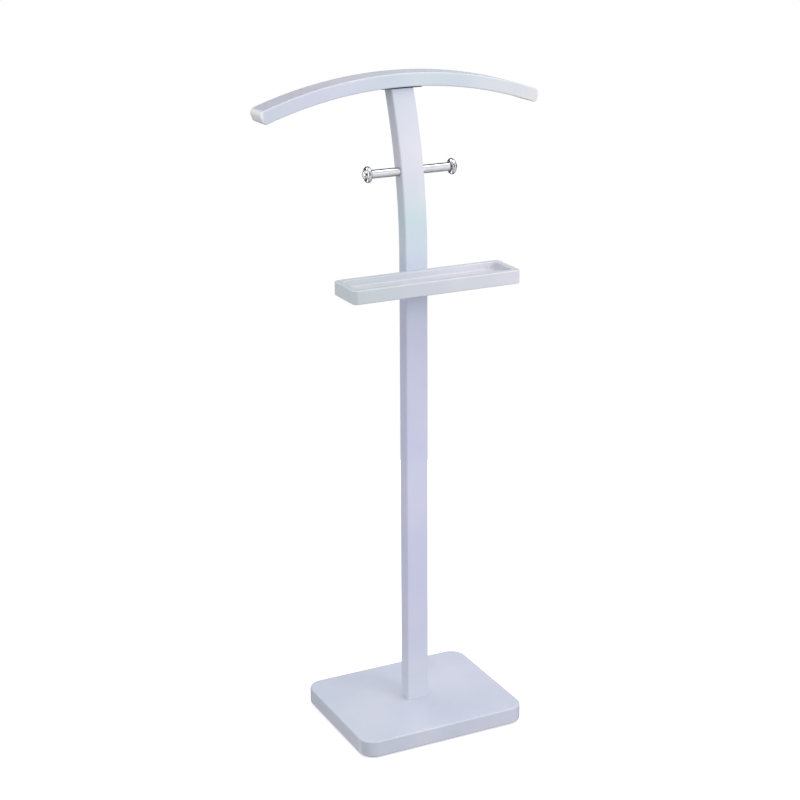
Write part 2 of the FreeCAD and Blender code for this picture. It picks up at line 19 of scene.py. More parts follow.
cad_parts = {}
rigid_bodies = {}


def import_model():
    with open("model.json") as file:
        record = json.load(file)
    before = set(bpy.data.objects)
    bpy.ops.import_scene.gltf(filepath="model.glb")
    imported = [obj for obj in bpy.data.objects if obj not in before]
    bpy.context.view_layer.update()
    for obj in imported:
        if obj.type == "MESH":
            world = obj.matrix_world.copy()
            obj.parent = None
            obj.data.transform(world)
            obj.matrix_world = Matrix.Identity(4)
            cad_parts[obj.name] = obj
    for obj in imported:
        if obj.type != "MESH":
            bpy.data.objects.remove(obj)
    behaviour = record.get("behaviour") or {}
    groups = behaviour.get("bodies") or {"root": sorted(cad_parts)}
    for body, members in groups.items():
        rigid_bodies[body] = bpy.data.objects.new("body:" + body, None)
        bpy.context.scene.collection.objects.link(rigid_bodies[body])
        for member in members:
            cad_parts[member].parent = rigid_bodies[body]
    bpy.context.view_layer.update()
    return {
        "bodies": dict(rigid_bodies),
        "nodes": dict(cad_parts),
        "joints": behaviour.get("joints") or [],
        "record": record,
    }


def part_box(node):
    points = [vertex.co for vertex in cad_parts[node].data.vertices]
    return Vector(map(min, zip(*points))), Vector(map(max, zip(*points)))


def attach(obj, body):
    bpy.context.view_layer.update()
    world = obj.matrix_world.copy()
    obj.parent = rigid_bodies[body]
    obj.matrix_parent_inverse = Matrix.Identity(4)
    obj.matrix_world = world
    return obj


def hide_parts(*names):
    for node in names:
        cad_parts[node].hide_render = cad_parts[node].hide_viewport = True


LOG = logging.getLogger("valet_stand")
BODY = "root"
MM = 0.001
SHARP_ANGLE = math.radians(34)
ROUND_STEPS = 96  # facets round a turned piece
HOLE_STEPS = 48  # facets round a hole
CORNER_STEPS = 12  # facets round a quarter of a corner
EDGE_STEPS = 6  # facets across an eased edge
OVERSHOOT = 1 * MM  # how far a cutter stands out of the face that it cuts
SEAT_CLEARANCE = 0.02 * MM  # round inserts, dowels and threads in their holes
HOLE_CLEARANCE = 0.25 * MM  # round bolts and studs in plain holes
THREAD_STEPS = 6  # rings to one turn of a thread
WELD = 0.002 * MM  # points nearer than this are one
LEAST_CORNER = 0.5 * MM  # of a board's outline, however far it is drawn in
SOCKET_SIDES = 6
NOISE_SPAN = (0.3, 0.7)  # what noise mostly keeps within
WHOLE = (0.0, 1.0)

X_AXIS = Vector((1, 0, 0))
Y_AXIS = Vector((0, 1, 0))
Z_AXIS = Vector((0, 0, 1))
AHEAD = Vector((0, 0, 0))  # angles that turn +X to the way that a copy faces
UPWARDS = Vector((0, -math.pi / 2, 0))
DOWNWARDS = Vector((0, math.pi / 2, 0))
BACKWARDS = Vector((0, 0, math.pi / 2))
FORWARDS = Vector((0, 0, -math.pi / 2))

Socket = bpy.types.NodeSocket
Piece = bpy.types.Object
Point = tuple[float, float]


# ------------------------------------------------------------------ names shared with the record
class Slot(Enum):
    """The record's material slots."""

    PAINT = "white_paint"
    CHROME = "chrome"
    DARK_STEEL = "dark_steel"
    ZINC = "zinc_steel"
    BRASS = "brass"
    BEECH = "beech"
    CAP = "cap_plastic"
    PAD = "pad_rubber"


class Side(Enum):
    """The left and the right of the stand, as the sign of X."""

    LEFT = -1
    RIGHT = 1

    def node(self, stem: str) -> str:
        """The CAD node of a piece on this side."""
        return f"{stem}_{self.name.lower()}"


def both(stem: str) -> list[str]:
    """The CAD nodes of a pair, left then right."""
    return [side.node(stem) for side in Side]


@dataclass(frozen=True)
class Box:
    """The box round one CAD node or several."""

    low: Vector
    high: Vector

    @classmethod
    def of(cls, *nodes: str) -> Box:
        """Measures CAD nodes.

        Args:
            nodes: their names.

        Returns:
            The box that holds them all.
        """
        ends = [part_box(node) for node in nodes]
        low = Vector([min(end[0][axis] for end in ends) for axis in range(3)])
        high = Vector([max(end[1][axis] for end in ends) for axis in range(3)])
        return cls(low, high)

    @property
    def size(self) -> Vector:
        """Width, depth and height."""
        return self.high - self.low

    @property
    def centre(self) -> Vector:
        """The middle of the box."""
        return (self.low + self.high) / 2

    @property
    def foot(self) -> Vector:
        """The middle of its lower face."""
        return Vector((self.centre.x, self.centre.y, self.low.z))


# ------------------------------------------------------------------ shader nodes
@dataclass(frozen=True)
class Tone:
    """A colour in sRGB, from 0 to 255."""

    red: float
    green: float
    blue: float

    def linear(self) -> tuple[float, float, float, float]:
        """The colour as a shader takes it.

        Returns:
            Red, green and blue in linear light, and an alpha of 1.
        """
        parts = []
        for value in (self.red, self.green, self.blue):
            share = value / 255
            parts.append(share / 12.92 if share <= 0.04045 else ((share + 0.055) / 1.055) ** 2.4)
        return (parts[0], parts[1], parts[2], 1.0)


WHITE = Tone(255, 255, 255)
Bands = tuple[tuple[float, Tone], ...]


def banded(*rows: tuple[float, float, float, float]) -> Bands:
    """The tone at each place, from rows of place, red, green and blue."""
    return tuple((row[0], Tone(*row[1:])) for row in rows)


def ramped(
    ramp: bpy.types.ShaderNode, stops: Sequence[tuple[float, tuple[float, ...]]]
) -> Socket:
    """Sets the stops of a colour ramp.

    Args:
        ramp: the new ramp's node.
        stops: (position, colour), in order.

    Returns:
        The ramp's colour.
    """
    elements = ramp.color_ramp.elements
    for _ in range(len(stops) - len(elements)):
        elements.new(1.0)
    for element, (place, colour) in zip(elements, stops):
        element.position = place
        element.color = colour
    return ramp.outputs["Color"]


class Shader:
    """A material under a principled shader, with short calls for the nodes that finishes use."""

    def __init__(self, name: str) -> None:
        """Starts the material.

        Args:
            name: the material's name.
        """
        self.material = bpy.data.materials.new(name)
        self.material.use_nodes = True
        self.nodes = self.material.node_tree.nodes
        self.links = self.material.node_tree.links
        self.surface = self.nodes["Principled BSDF"]
        self.position = self.nodes.new("ShaderNodeTexCoord").outputs["Object"]

    def set(self, values: dict[str, float | tuple[float, ...]]) -> None:
        """Sets constants on the shader's own sockets."""
        for name, value in values.items():
            self.surface.inputs[name].default_value = value

    def drive(self, name: str, source: Socket) -> None:
        """Links one of the shader's sockets."""
        self.links.new(source, self.surface.inputs[name])

    def stretched(self, x: float, y: float, z: float) -> Socket:
        """The place on the piece, scaled along each axis.

        Args:
            x: scale along X.
            y: scale along Y.
            z: scale along Z.

        Returns:
            The scaled place.
        """
        mapping = self.nodes.new("ShaderNodeMapping")
        mapping.inputs["Scale"].default_value = (x, y, z)
        self.links.new(self.position, mapping.inputs["Vector"])
        return mapping.outputs["Vector"]

    def reach(self, vector: Socket, axis: int, source: Point) -> Socket:
        """How far a vector reaches along an axis.

        Args:
            vector: the vector.
            axis: 0 for X or 2 for Z.
            source: where the share is 0, and where it is 1.

        Returns:
            The share.
        """
        split = self.nodes.new("ShaderNodeSeparateXYZ")
        self.links.new(vector, split.inputs["Vector"])
        return self.ranged(split.outputs[axis], source)

    def noise(self, scale: float, detail: float = 2.0, where: Socket | None = None) -> Socket:
        """Noise in the piece's own space.

        Args:
            scale: about as many features to a metre.
            detail: octaves.
            where: the place, if it is stretched.

        Returns:
            The noise, mostly within NOISE_SPAN.
        """
        node = self.nodes.new("ShaderNodeTexNoise")
        node.inputs["Scale"].default_value = scale
        node.inputs["Detail"].default_value = detail
        self.links.new(where or self.position, node.inputs["Vector"])
        return node.outputs["Fac"]

    def ranged(
        self, value: Socket, source: Point = NOISE_SPAN, target: Point = WHOLE
    ) -> Socket:
        """Maps a value from one range to another.

        Args:
            value: the value.
            source: the range that it comes in.
            target: the range that it leaves in.

        Returns:
            The mapped value.
        """
        node = self.nodes.new("ShaderNodeMapRange")
        node.inputs["From Min"].default_value, node.inputs["From Max"].default_value = source
        node.inputs["To Min"].default_value, node.inputs["To Max"].default_value = target
        self.links.new(value, node.inputs["Value"])
        return node.outputs["Result"]

    def ramp(self, value: Socket, stops: Sequence[tuple[float, Tone]]) -> Socket:
        """Colours a value.

        Args:
            value: from 0 to 1.
            stops: the tone at each value, in order.

        Returns:
            The colour.
        """
        node = self.nodes.new("ShaderNodeValToRGB")
        self.links.new(value, node.inputs["Fac"])
        return ramped(node, [(place, tone.linear()) for place, tone in stops])

    def shaded(self, colour: Socket, share: Socket, shade: Tone) -> Socket:
        """Multiplies a colour by a shade.

        Args:
            colour: the colour.
            share: how much of the shade, from 0 to 1.
            shade: the shade.

        Returns:
            The shaded colour.
        """
        node = self.nodes.new("ShaderNodeMix")
        node.data_type = "RGBA"
        node.blend_type = "MULTIPLY"
        sockets = {(socket.name, socket.type): socket for socket in node.inputs}
        self.links.new(share, sockets["Factor", "VALUE"])
        self.links.new(colour, sockets["A", "RGBA"])
        sockets["B", "RGBA"].default_value = shade.linear()
        return next(socket for socket in node.outputs if socket.type == "RGBA")

    def relief(self, height: Socket, depth: float, under: Socket | None = None) -> Socket:
        """Bends the normal by a height.

        Args:
            height: from 0 to 1.
            depth: of the relief, in metres.
            under: relief that this one adds to.

        Returns:
            The bent normal.
        """
        node = self.nodes.new("ShaderNodeBump")
        node.inputs["Distance"].default_value = depth
        self.links.new(height, node.inputs["Height"])
        if under is not None:
            self.links.new(under, node.inputs["Normal"])
        return node.outputs["Normal"]


# ------------------------------------------------------------------ finishes
@dataclass(frozen=True)
class Lacquer:
    """Satin lacquer sprayed on sanded wood, with painted light and shade in its banded tone and a
    painted shade on faces that look up.
    """

    name: str
    bands: Bands  # tone along the axis, in metres, which carries painted light and shade
    axis: int = 2
    painted_top_shade: Tone = WHITE  # painted shade on what faces up, darkening top faces
    level: Point = (0.6, 0.95)  # the normal's Z where the painted top shade starts, and where it is full
    drift: Tone = Tone(242, 246, 250)  # shade of the thinner clouds in the coat
    drift_scale: float = 7.0
    drift_span: Point = (0.35, 0.65)
    index: float = 1.46
    coat_roughness: float = 0.16
    sanding: Point = (70, 700)  # scale along the board and across it
    peel_scale: float = 420.0
    peel_depth: float = 0.035 * MM
    grain_depth: float = 0.02 * MM
    roughness: Point = (0.36, 0.44)
    coat: float = 0.22

    def material(self) -> bpy.types.Material:
        """Builds the lacquer.

        Returns:
            The material.
        """
        shader = Shader(self.name)
        shader.set({"Coat Weight": self.coat, "Coat Roughness": self.coat_roughness})
        shader.set({"IOR": self.index})
        low, high = self.bands[0][0], self.bands[-1][0]
        stops = [((place - low) / (high - low), tone) for place, tone in self.bands]
        # painted light and shade: the banded tone lightens and darkens along the axis
        tint = shader.ramp(shader.reach(shader.position, self.axis, (low, high)), stops)
        clouds = shader.ranged(shader.noise(self.drift_scale, 3.0), self.drift_span)
        coat = shader.shaded(tint, clouds, self.drift)
        normal = shader.nodes.new("ShaderNodeNewGeometry").outputs["Normal"]
        # painted shade: faces that look up are darkened towards the top shade tone
        top_shade_share = shader.reach(normal, 2, self.level)
        shader.drive("Base Color", shader.shaded(coat, top_shade_share, self.painted_top_shade))
        along, across = self.sanding
        sanding = shader.noise(1.0, 3.0, shader.stretched(along, across, across))
        shader.drive("Roughness", shader.ranged(sanding, target=self.roughness))
        grain = shader.relief(sanding, self.grain_depth)
        peel = shader.noise(self.peel_scale)
        shader.drive("Normal", shader.relief(peel, self.peel_depth, grain))
        return shader.material


@dataclass(frozen=True)
class Plating:
    """Bright plating on turned metal, polished round and round the X axis."""

    name: str
    tone: Tone
    dull: Tone  # where it is smudged
    edge: Tone  # seen at a glancing angle
    roughness: Point = (0.03, 0.08)
    smudge_scale: float = 60.0
    smudge_span: Point = (0.4, 0.7)
    lines: Point = (2600.0, 40.0)  # scale along the axis and round it
    line_depth: float = 0.002 * MM

    def material(self) -> bpy.types.Material:
        """Builds the plating.

        Returns:
            The material.
        """
        shader = Shader(self.name)
        shader.set({"Metallic": 1.0, "Specular Tint": self.edge.linear()})
        smudges = shader.ranged(shader.noise(self.smudge_scale, 3.0), self.smudge_span)
        shader.drive("Base Color", shader.ramp(smudges, [(0.0, self.tone), (1.0, self.dull)]))
        along, across = self.lines
        lines = shader.noise(1.0, 2.0, shader.stretched(along, across, across))
        shader.drive("Roughness", shader.ranged(lines, target=self.roughness))
        shader.drive("Normal", shader.relief(lines, self.line_depth))
        return shader.material


@dataclass(frozen=True)
class MetalFinish:
    """Plain metal with a blotched surface: blackened, zinc-coated or bare."""

    name: str
    dark: Tone
    light: Tone
    roughness: Point
    blotch_scale: float = 220.0
    pit_scale: float = 1760.0
    pit_depth: float = 0.01 * MM

    def material(self) -> bpy.types.Material:
        """Builds the metal.

        Returns:
            The material.
        """
        shader = Shader(self.name)
        shader.set({"Metallic": 1.0})
        blotches = shader.ranged(shader.noise(self.blotch_scale, 4.0))
        shader.drive("Base Color", shader.ramp(blotches, [(0.0, self.dark), (1.0, self.light)]))
        shader.drive("Roughness", shader.ranged(blotches, WHOLE, self.roughness))
        shader.drive("Normal", shader.relief(shader.noise(self.pit_scale), self.pit_depth))
        return shader.material


@dataclass(frozen=True)
class Beech:
    """Bare beech with fine flecks along Z."""

    name: str = "beech_bare"
    early: Tone = Tone(214, 176, 134)
    late: Tone = Tone(184, 140, 98)
    roughness: float = 0.62
    fibres: Point = (900, 60)  # scale across them and along them
    fibre_depth: float = 0.03 * MM

    def material(self) -> bpy.types.Material:
        """Builds the wood.

        Returns:
            The material.
        """
        shader = Shader(self.name)
        shader.set({"Roughness": self.roughness})
        across, along = self.fibres
        fibres = shader.noise(1.0, 4.0, shader.stretched(across, across, along))
        tint = shader.ramp(shader.ranged(fibres), [(0.0, self.late), (1.0, self.early)])
        shader.drive("Base Color", tint)
        shader.drive("Normal", shader.relief(fibres, self.fibre_depth))
        return shader.material


@dataclass(frozen=True)
class Moulding:
    """Moulded plastic or rubber with a fine spark texture."""

    name: str
    tone: Tone
    shade: Tone
    roughness: Point
    cloud_scale: float = 90.0
    texture_scale: float = 1600.0
    texture_depth: float = 0.02 * MM

    def material(self) -> bpy.types.Material:
        """Builds the moulding.

        Returns:
            The material.
        """
        shader = Shader(self.name)
        texture = shader.noise(self.texture_scale)
        share = shader.ranged(shader.noise(self.cloud_scale, 3.0))
        shader.drive("Base Color", shader.ramp(share, [(0.0, self.shade), (1.0, self.tone)]))
        shader.drive("Roughness", shader.ranged(texture, target=self.roughness))
        shader.drive("Normal", shader.relief(texture, self.texture_depth))
        return shader.material


class Finishes:
    """Every finish on the stand, made once."""

    def __init__(self) -> None:
        """Builds the materials."""
        # painted shade: the base's tone is a little darker towards its left end
        base = banded((-0.155, 202, 206, 219), (0.0, 207, 209, 223), (0.155, 208, 209, 223))
        # painted light and shade: the post's tone lightens and darkens with height
        post = banded(
            (0.03, 216, 219, 227),
            (0.21, 206, 207, 232),
            (0.44, 215, 215, 238),
            (0.70, 206, 207, 229),
            (0.80, 206, 212, 229),
            (0.85, 214, 223, 234),
            (0.90, 205, 221, 227),
            (0.96, 221, 222, 231),
            (1.00, 225, 223, 233),
            (1.11, 206, 212, 225),
        )
        # painted highlight on the tray's left end face, and painted light growing towards the right
        tray = banded(
            (-0.152, 228, 234, 238),
            (-0.147, 208, 213, 216),
            (0.0, 214, 215, 224),
            (0.152, 227, 224, 231),
        )
        # painted highlight on both end faces of the hanger, and painted light growing towards the
        # right
        hanger = banded(
            (-0.251, 249, 252, 255),
            (-0.2485, 249, 252, 255),
            (-0.246, 209, 214, 228),
            (-0.12, 218, 219, 234),
            (0.05, 209, 220, 228),
            (0.16, 221, 225, 232),
            (0.246, 227, 227, 228),
            (0.2485, 249, 252, 255),
            (0.251, 249, 252, 255),
        )
        chrome = (Tone(206, 207, 211), Tone(196, 197, 202), Tone(92, 94, 100))
        black = (Tone(38, 42, 48), Tone(66, 72, 80))
        zinc = (Tone(150, 156, 166), Tone(206, 210, 214))
        brass = (Tone(176, 140, 76), Tone(214, 178, 104))
        plastic = (Tone(214, 217, 226), Tone(206, 209, 220))
        rubber = (Tone(70, 71, 74), Tone(52, 53, 56))
        self.paint = {
            # the last tone given to base, tray and hanger is the painted top shade on faces that
            # look up
            "base_board": Lacquer("lacquer_base", base, 0, Tone(248, 249, 250)).material(),
            "post": Lacquer("lacquer_post", post).material(),
            "tray": Lacquer("lacquer_tray", tray, 0, Tone(251, 249, 245)).material(),
            "hanger_bar": Lacquer("lacquer_hanger", hanger, 0, Tone(240, 235, 235)).material(),
        }
        self.plain = {
            Slot.CHROME: Plating("chrome_plate", *chrome).material(),
            Slot.DARK_STEEL: MetalFinish("steel_blackened", *black, (0.42, 0.6)).material(),
            Slot.ZINC: MetalFinish("steel_zinc", *zinc, (0.24, 0.42)).material(),
            Slot.BRASS: MetalFinish("brass_bare", *brass, (0.2, 0.36)).material(),
            Slot.BEECH: Beech().material(),
            Slot.CAP: Moulding("plastic_white", *plastic, (0.42, 0.56)).material(),
            Slot.PAD: Moulding("rubber_grey", *rubber, (0.68, 0.86)).material(),
        }

    def of(self, slot: Slot, node: str) -> bpy.types.Material:
        """The material of a slot, which for paint is the CAD node's own."""
        return self.paint[node] if slot is Slot.PAINT else self.plain[slot]


# ------------------------------------------------------------------ mesh tools
def bend(
    centre: Point, radius: float, start: float, end: float, steps: int = EDGE_STEPS
) -> list[Point]:
    """Points along an arc in a plane.

    Args:
        centre: of the arc.
        radius: of the arc.
        start: its first angle in degrees.
        end: its last angle in degrees.
        steps: facets.

    Returns:
        The points, both ends included.
    """
    points = []
    for step in range(steps + 1):
        angle = math.radians(start + (end - start) * step / steps)
        points.append((centre[0] + radius * math.cos(angle), centre[1] + radius * math.sin(angle)))
    return points


def shown(name: str, mesh: bpy.types.Mesh) -> Piece:
    """Puts a mesh in the scene as a new piece.

    Args:
        name: the piece's name.
        mesh: its mesh.

    Returns:
        The piece.
    """
    piece = bpy.data.objects.new(name, mesh)
    bpy.context.scene.collection.objects.link(piece)
    return piece


def skin(name: str, rings: Sequence[Sequence[Vector]], looped: bool = False) -> Piece:
    """Closes a shell over rings of points.

    Args:
        name: the new piece's name.
        rings: in order along the shell, as many points in each, or one point for a pole.
        looped: whether the last ring joins the first, as round a washer's hole.

    Returns:
        The piece.
    """
    shell = bmesh.new()
    rows = [[shell.verts.new(point) for point in ring] for ring in rings]
    if looped:
        rows.append(rows[0])
    for row in (rows[0], rows[-1]):
        if len(row) > 1 and not looped:
            shell.faces.new(row)
    for below, above in zip(rows, rows[1:]):
        count = max(len(below), len(above))
        for index in range(count):
            after = (index + 1) % count
            corners = [below[index % len(below)], below[after % len(below)]]
            corners += [above[after % len(above)], above[index % len(above)]]
            shell.faces.new(list(dict.fromkeys(corners)))
    bmesh.ops.recalc_face_normals(shell, faces=shell.faces)
    mesh = bpy.data.meshes.new(name)
    shell.to_mesh(mesh)
    shell.free()
    piece = shown(name, mesh)
    welded(piece)
    return piece


def turned(
    name: str,
    profile: Sequence[Point],
    start: Vector = Vector((0, 0, 0)),
    along: Vector = X_AXIS,
    steps: int = HOLE_STEPS,
    looped: bool = False,
) -> Piece:
    """Turns a profile about an axis.

    Args:
        name: the new piece's name.
        profile: (distance along the axis, radius) in order; a radius of 0 is a pole.
        start: where the axis starts.
        along: the axis's direction.
        steps: facets round the axis.
        looped: whether the profile closes on itself, clear of the axis.

    Returns:
        The piece, with its place in its mesh.
    """
    turn = X_AXIS.rotation_difference(along).to_matrix().to_4x4()
    place = Matrix.Translation(start) @ turn
    rings = []
    for distance, radius in profile:
        count = steps if radius > 0 else 1
        ring = []
        for step in range(count):
            angle = math.tau * step / count
            spoke = Vector((distance, radius * math.cos(angle), radius * math.sin(angle)))
            ring.append(place @ spoke)
        rings.append(ring)
    return skin(name, rings, looped)


def settle(piece: Piece) -> None:
    """Turns a piece's modifiers into its plain mesh.

    Args:
        piece: the piece, whose modifiers are then gone.
    """
    graph = bpy.context.evaluated_depsgraph_get()
    mesh = bpy.data.meshes.new_from_object(piece.evaluated_get(graph), depsgraph=graph)
    old = piece.data
    piece.modifiers.clear()
    piece.data = mesh
    mesh.name = piece.name
    bpy.data.meshes.remove(old)


def drilled(piece: Piece, cutters: Iterable[Piece]) -> None:
    """Cuts other pieces out of a piece.

    Args:
        piece: what is cut.
        cutters: what is taken away, and then removed.
    """
    cutters = list(cutters)
    for cutter in cutters:
        cut = piece.modifiers.new(cutter.name, "BOOLEAN")
        cut.operation = "DIFFERENCE"
        cut.solver = "EXACT"
        cut.object = cutter
    settle(piece)
    for cutter in cutters:
        mesh = cutter.data
        bpy.data.objects.remove(cutter)
        bpy.data.meshes.remove(mesh)


def welded(piece: Piece) -> None:
    """Welds points that coincide and drops faces without area.

    Args:
        piece: the piece.
    """
    shell = bmesh.new()
    shell.from_mesh(piece.data)
    bmesh.ops.remove_doubles(shell, verts=shell.verts, dist=WELD)
    bmesh.ops.dissolve_degenerate(shell, edges=shell.edges, dist=WELD)
    shell.to_mesh(piece.data)
    shell.free()


def smoothed(piece: Piece) -> None:
    """Shades eased edges smooth and keeps the flats beside them flat.

    Args:
        piece: the piece.
    """
    welded(piece)
    piece.data.shade_smooth()
    piece.data.set_sharp_from_angle(angle=SHARP_ANGLE)
    flats = piece.modifiers.new("flats", "WEIGHTED_NORMAL")
    flats.keep_sharp = True
    settle(piece)


def handed_over(piece: Piece, nodes: Sequence[str]) -> None:
    """Makes a finished piece ride and stand for its CAD nodes.

    Args:
        piece: the finished piece.
        nodes: the CAD nodes that it replaces.
    """
    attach(piece, BODY)
    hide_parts(*nodes)
    LOG.info("%s: %d faces, for %s", piece.name, len(piece.data.polygons), ", ".join(nodes))


def dressed(piece: Piece, material: bpy.types.Material) -> None:
    """Gives a made piece its one material."""
    piece.data.materials.clear()
    piece.data.materials.append(material)


# ------------------------------------------------------------------ Geometry Nodes
class Recipe:
    """A Geometry Nodes tree with named sizes, built in short calls."""

    def __init__(self, name: str) -> None:
        """Starts the tree with one geometry in and one out.

        Args:
            name: the tree's name.
        """
        self.tree = bpy.data.node_groups.new(name, "GeometryNodeTree")
        for way in ("INPUT", "OUTPUT"):
            self.tree.interface.new_socket("Geometry", in_out=way, socket_type="NodeSocketGeometry")
        self.inside = self.tree.nodes.new("NodeGroupInput")
        self.identifiers: dict[str, str] = {}

    def size(self, name: str, kind: str = "Float") -> Socket:
        """Adds a named input.

        Args:
            name: what the input is called.
            kind: its socket's kind, such as Float, Int, Vector or Material.

        Returns:
            The socket inside the tree.
        """
        socket = self.tree.interface.new_socket(
            name, in_out="INPUT", socket_type=f"NodeSocket{kind}"
        )
        self.identifiers[name] = socket.identifier
        return self.inside.outputs[name]

    def feed(self, socket: Socket, value: object) -> None:
        """Links an input to another socket, or gives it a value.

        Args:
            socket: the input.
            value: the other socket, or the value.
        """
        if isinstance(value, bpy.types.NodeSocket):
            self.tree.links.new(value, socket)
        else:
            socket.default_value = value

    def node(self, kind: str, inputs: dict[str, object], **settings: str) -> Socket:
        """Adds a node.

        Args:
            kind: the node's type.
            inputs: a value, or a socket to link, for each named input.
            settings: the node's own options.

        Returns:
            Its first output that is switched on.
        """
        node = self.tree.nodes.new(kind)
        for name, value in settings.items():
            setattr(node, name, value)
        for name, value in inputs.items():
            self.feed(node.inputs[name], value)
        return next(socket for socket in node.outputs if socket.enabled)

    def sum(self, operation: str, first: Socket | float, second: Socket | float = 0.0) -> Socket:
        """Works out one step of arithmetic.

        Args:
            operation: the step's name, such as ADD or SINE.
            first: its first number.
            second: its second number, where it has one.

        Returns:
            The result.
        """
        node = self.tree.nodes.new("ShaderNodeMath")
        node.operation = operation
        for socket, value in zip(node.inputs, (first, second)):
            self.feed(socket, value)
        return node.outputs["Value"]

    def split(self, vector: Socket) -> list[Socket]:
        """Splits a vector.

        Args:
            vector: the vector.

        Returns:
            Its X, Y and Z.
        """
        node = self.tree.nodes.new("ShaderNodeSeparateXYZ")
        self.tree.links.new(vector, node.inputs["Vector"])
        return list(node.outputs)

    def finish(self, geometry: Socket) -> Recipe:
        """Ends the tree in real geometry with its material.

        Args:
            geometry: the last geometry.

        Returns:
            The recipe.
        """
        real = self.node("GeometryNodeRealizeInstances", {"Geometry": geometry})
        finish = self.size("Finish", "Material")
        dressed_geometry = self.node(
            "GeometryNodeSetMaterial", {"Geometry": real, "Material": finish}
        )
        outside = self.tree.nodes.new("NodeGroupOutput")
        self.tree.links.new(dressed_geometry, outside.inputs["Geometry"])
        return self

    def applied(self, piece: Piece, values: dict[str, object]) -> None:
        """Runs the tree on a piece and leaves its plain mesh.

        Args:
            piece: the piece, whose own mesh goes into the tree.
            values: a value for each named input.
        """
        modifier = piece.modifiers.new(self.tree.name, "NODES")
        modifier.node_group = self.tree
        for name, value in values.items():
            modifier[self.identifiers[name]] = value
        settle(piece)


def bowed_bar() -> Recipe:
    """A bar of round-edged section, straight and then bowed back, sawn off level.

    Returns:
        The recipe, with inputs Foot, Middle, Straight, Bow, Bow Radius, Width, Depth, Edge, Top,
        Stations and Finish.
    """
    recipe = Recipe("bowed_bar")
    foot, middle, top = (recipe.size(name) for name in ("Foot", "Middle", "Top"))
    straight, bow, radius = (recipe.size(name) for name in ("Straight", "Bow", "Bow Radius"))
    width, depth, edge = (recipe.size(name) for name in ("Width", "Depth", "Edge"))
    stations = recipe.size("Stations", "Int")
    line = recipe.node("GeometryNodeCurvePrimitiveLine", {"End": (0, 0, 1)})
    line = recipe.node("GeometryNodeResampleCurve", {"Curve": line, "Count": stations})
    share = recipe.node("GeometryNodeSplineParameter", {})
    travelled = recipe.sum("MULTIPLY", share, recipe.sum("ADD", straight, bow))
    beyond = recipe.sum("MAXIMUM", recipe.sum("SUBTRACT", travelled, straight), 0.0)
    turn = recipe.sum("DIVIDE", beyond, radius)
    forward = recipe.sum("MULTIPLY", radius, recipe.sum("COSINE", turn))
    back = recipe.sum("SUBTRACT", radius, forward)
    rise = recipe.sum("ADD", foot, recipe.sum("MINIMUM", travelled, straight))
    climb = recipe.sum("MULTIPLY", radius, recipe.sum("SINE", turn))
    place = recipe.node(
        "ShaderNodeCombineXYZ",
        {"Y": recipe.sum("ADD", middle, back), "Z": recipe.sum("ADD", rise, climb)},
    )
    path = recipe.node("GeometryNodeSetPosition", {"Geometry": line, "Position": place})
    section = recipe.node(
        "GeometryNodeCurvePrimitiveQuadrilateral", {"Width": width, "Height": depth}
    )
    section = recipe.node(
        "GeometryNodeFilletCurve",
        {"Curve": section, "Count": EDGE_STEPS, "Radius": edge},
        mode="POLY",
    )
    bar = recipe.node(
        "GeometryNodeCurveToMesh", {"Curve": path, "Profile Curve": section, "Fill Caps": True}
    )
    waste = recipe.node("GeometryNodeMeshCube", {"Size": (1, 1, 1)})
    above = recipe.node("ShaderNodeCombineXYZ", {"Z": recipe.sum("ADD", top, 0.5)})
    waste = recipe.node("GeometryNodeTransform", {"Geometry": waste, "Translation": above})
    sawn = recipe.node(
        "GeometryNodeMeshBoolean", {"Mesh 1": bar, "Mesh 2": waste}, solver="EXACT"
    )
    return recipe.finish(sawn)


def copies() -> Recipe:
    """Copies of a piece on a grid round a centre.

    Returns:
        The recipe, with inputs Facing, Left Turn, Columns, Rows, Spacing X, Spacing Y, Centre and
        Finish. The piece goes in at the origin along +X, is turned by Facing, and those on the left
        are turned about Z by Left Turn as well.
    """
    recipe = Recipe("copies")
    facing, left_turn = recipe.size("Facing", "Vector"), recipe.size("Left Turn")
    columns, rows = recipe.size("Columns", "Int"), recipe.size("Rows", "Int")
    across, deep = recipe.size("Spacing X"), recipe.size("Spacing Y")
    centre = recipe.size("Centre", "Vector")
    grid = recipe.node(
        "GeometryNodeMeshGrid",
        {"Size X": across, "Size Y": deep, "Vertices X": columns, "Vertices Y": rows},
    )
    place = recipe.node("GeometryNodeInputPosition", {})
    on_left = recipe.sum("LESS_THAN", recipe.split(place)[0], 0.0)
    turn = recipe.node("ShaderNodeCombineXYZ", {"Z": recipe.sum("MULTIPLY", on_left, left_turn)})
    single = recipe.node(
        "GeometryNodeTransform",
        {"Geometry": recipe.inside.outputs["Geometry"], "Rotation": facing},
    )
    pieces = recipe.node(
        "GeometryNodeInstanceOnPoints", {"Points": grid, "Instance": single, "Rotation": turn}
    )
    moved = recipe.node("GeometryNodeTransform", {"Geometry": pieces, "Translation": centre})
    return recipe.finish(moved)


class Relief(Enum):
    """Patterns that are cut into the side of a turned piece."""

    THREAD = "thread"
    FLUTES = "flutes"

    @property
    def measure(self) -> str:
        """The input that says how fine the pattern is."""
        return "Pitch" if self is Relief.THREAD else "Flutes"


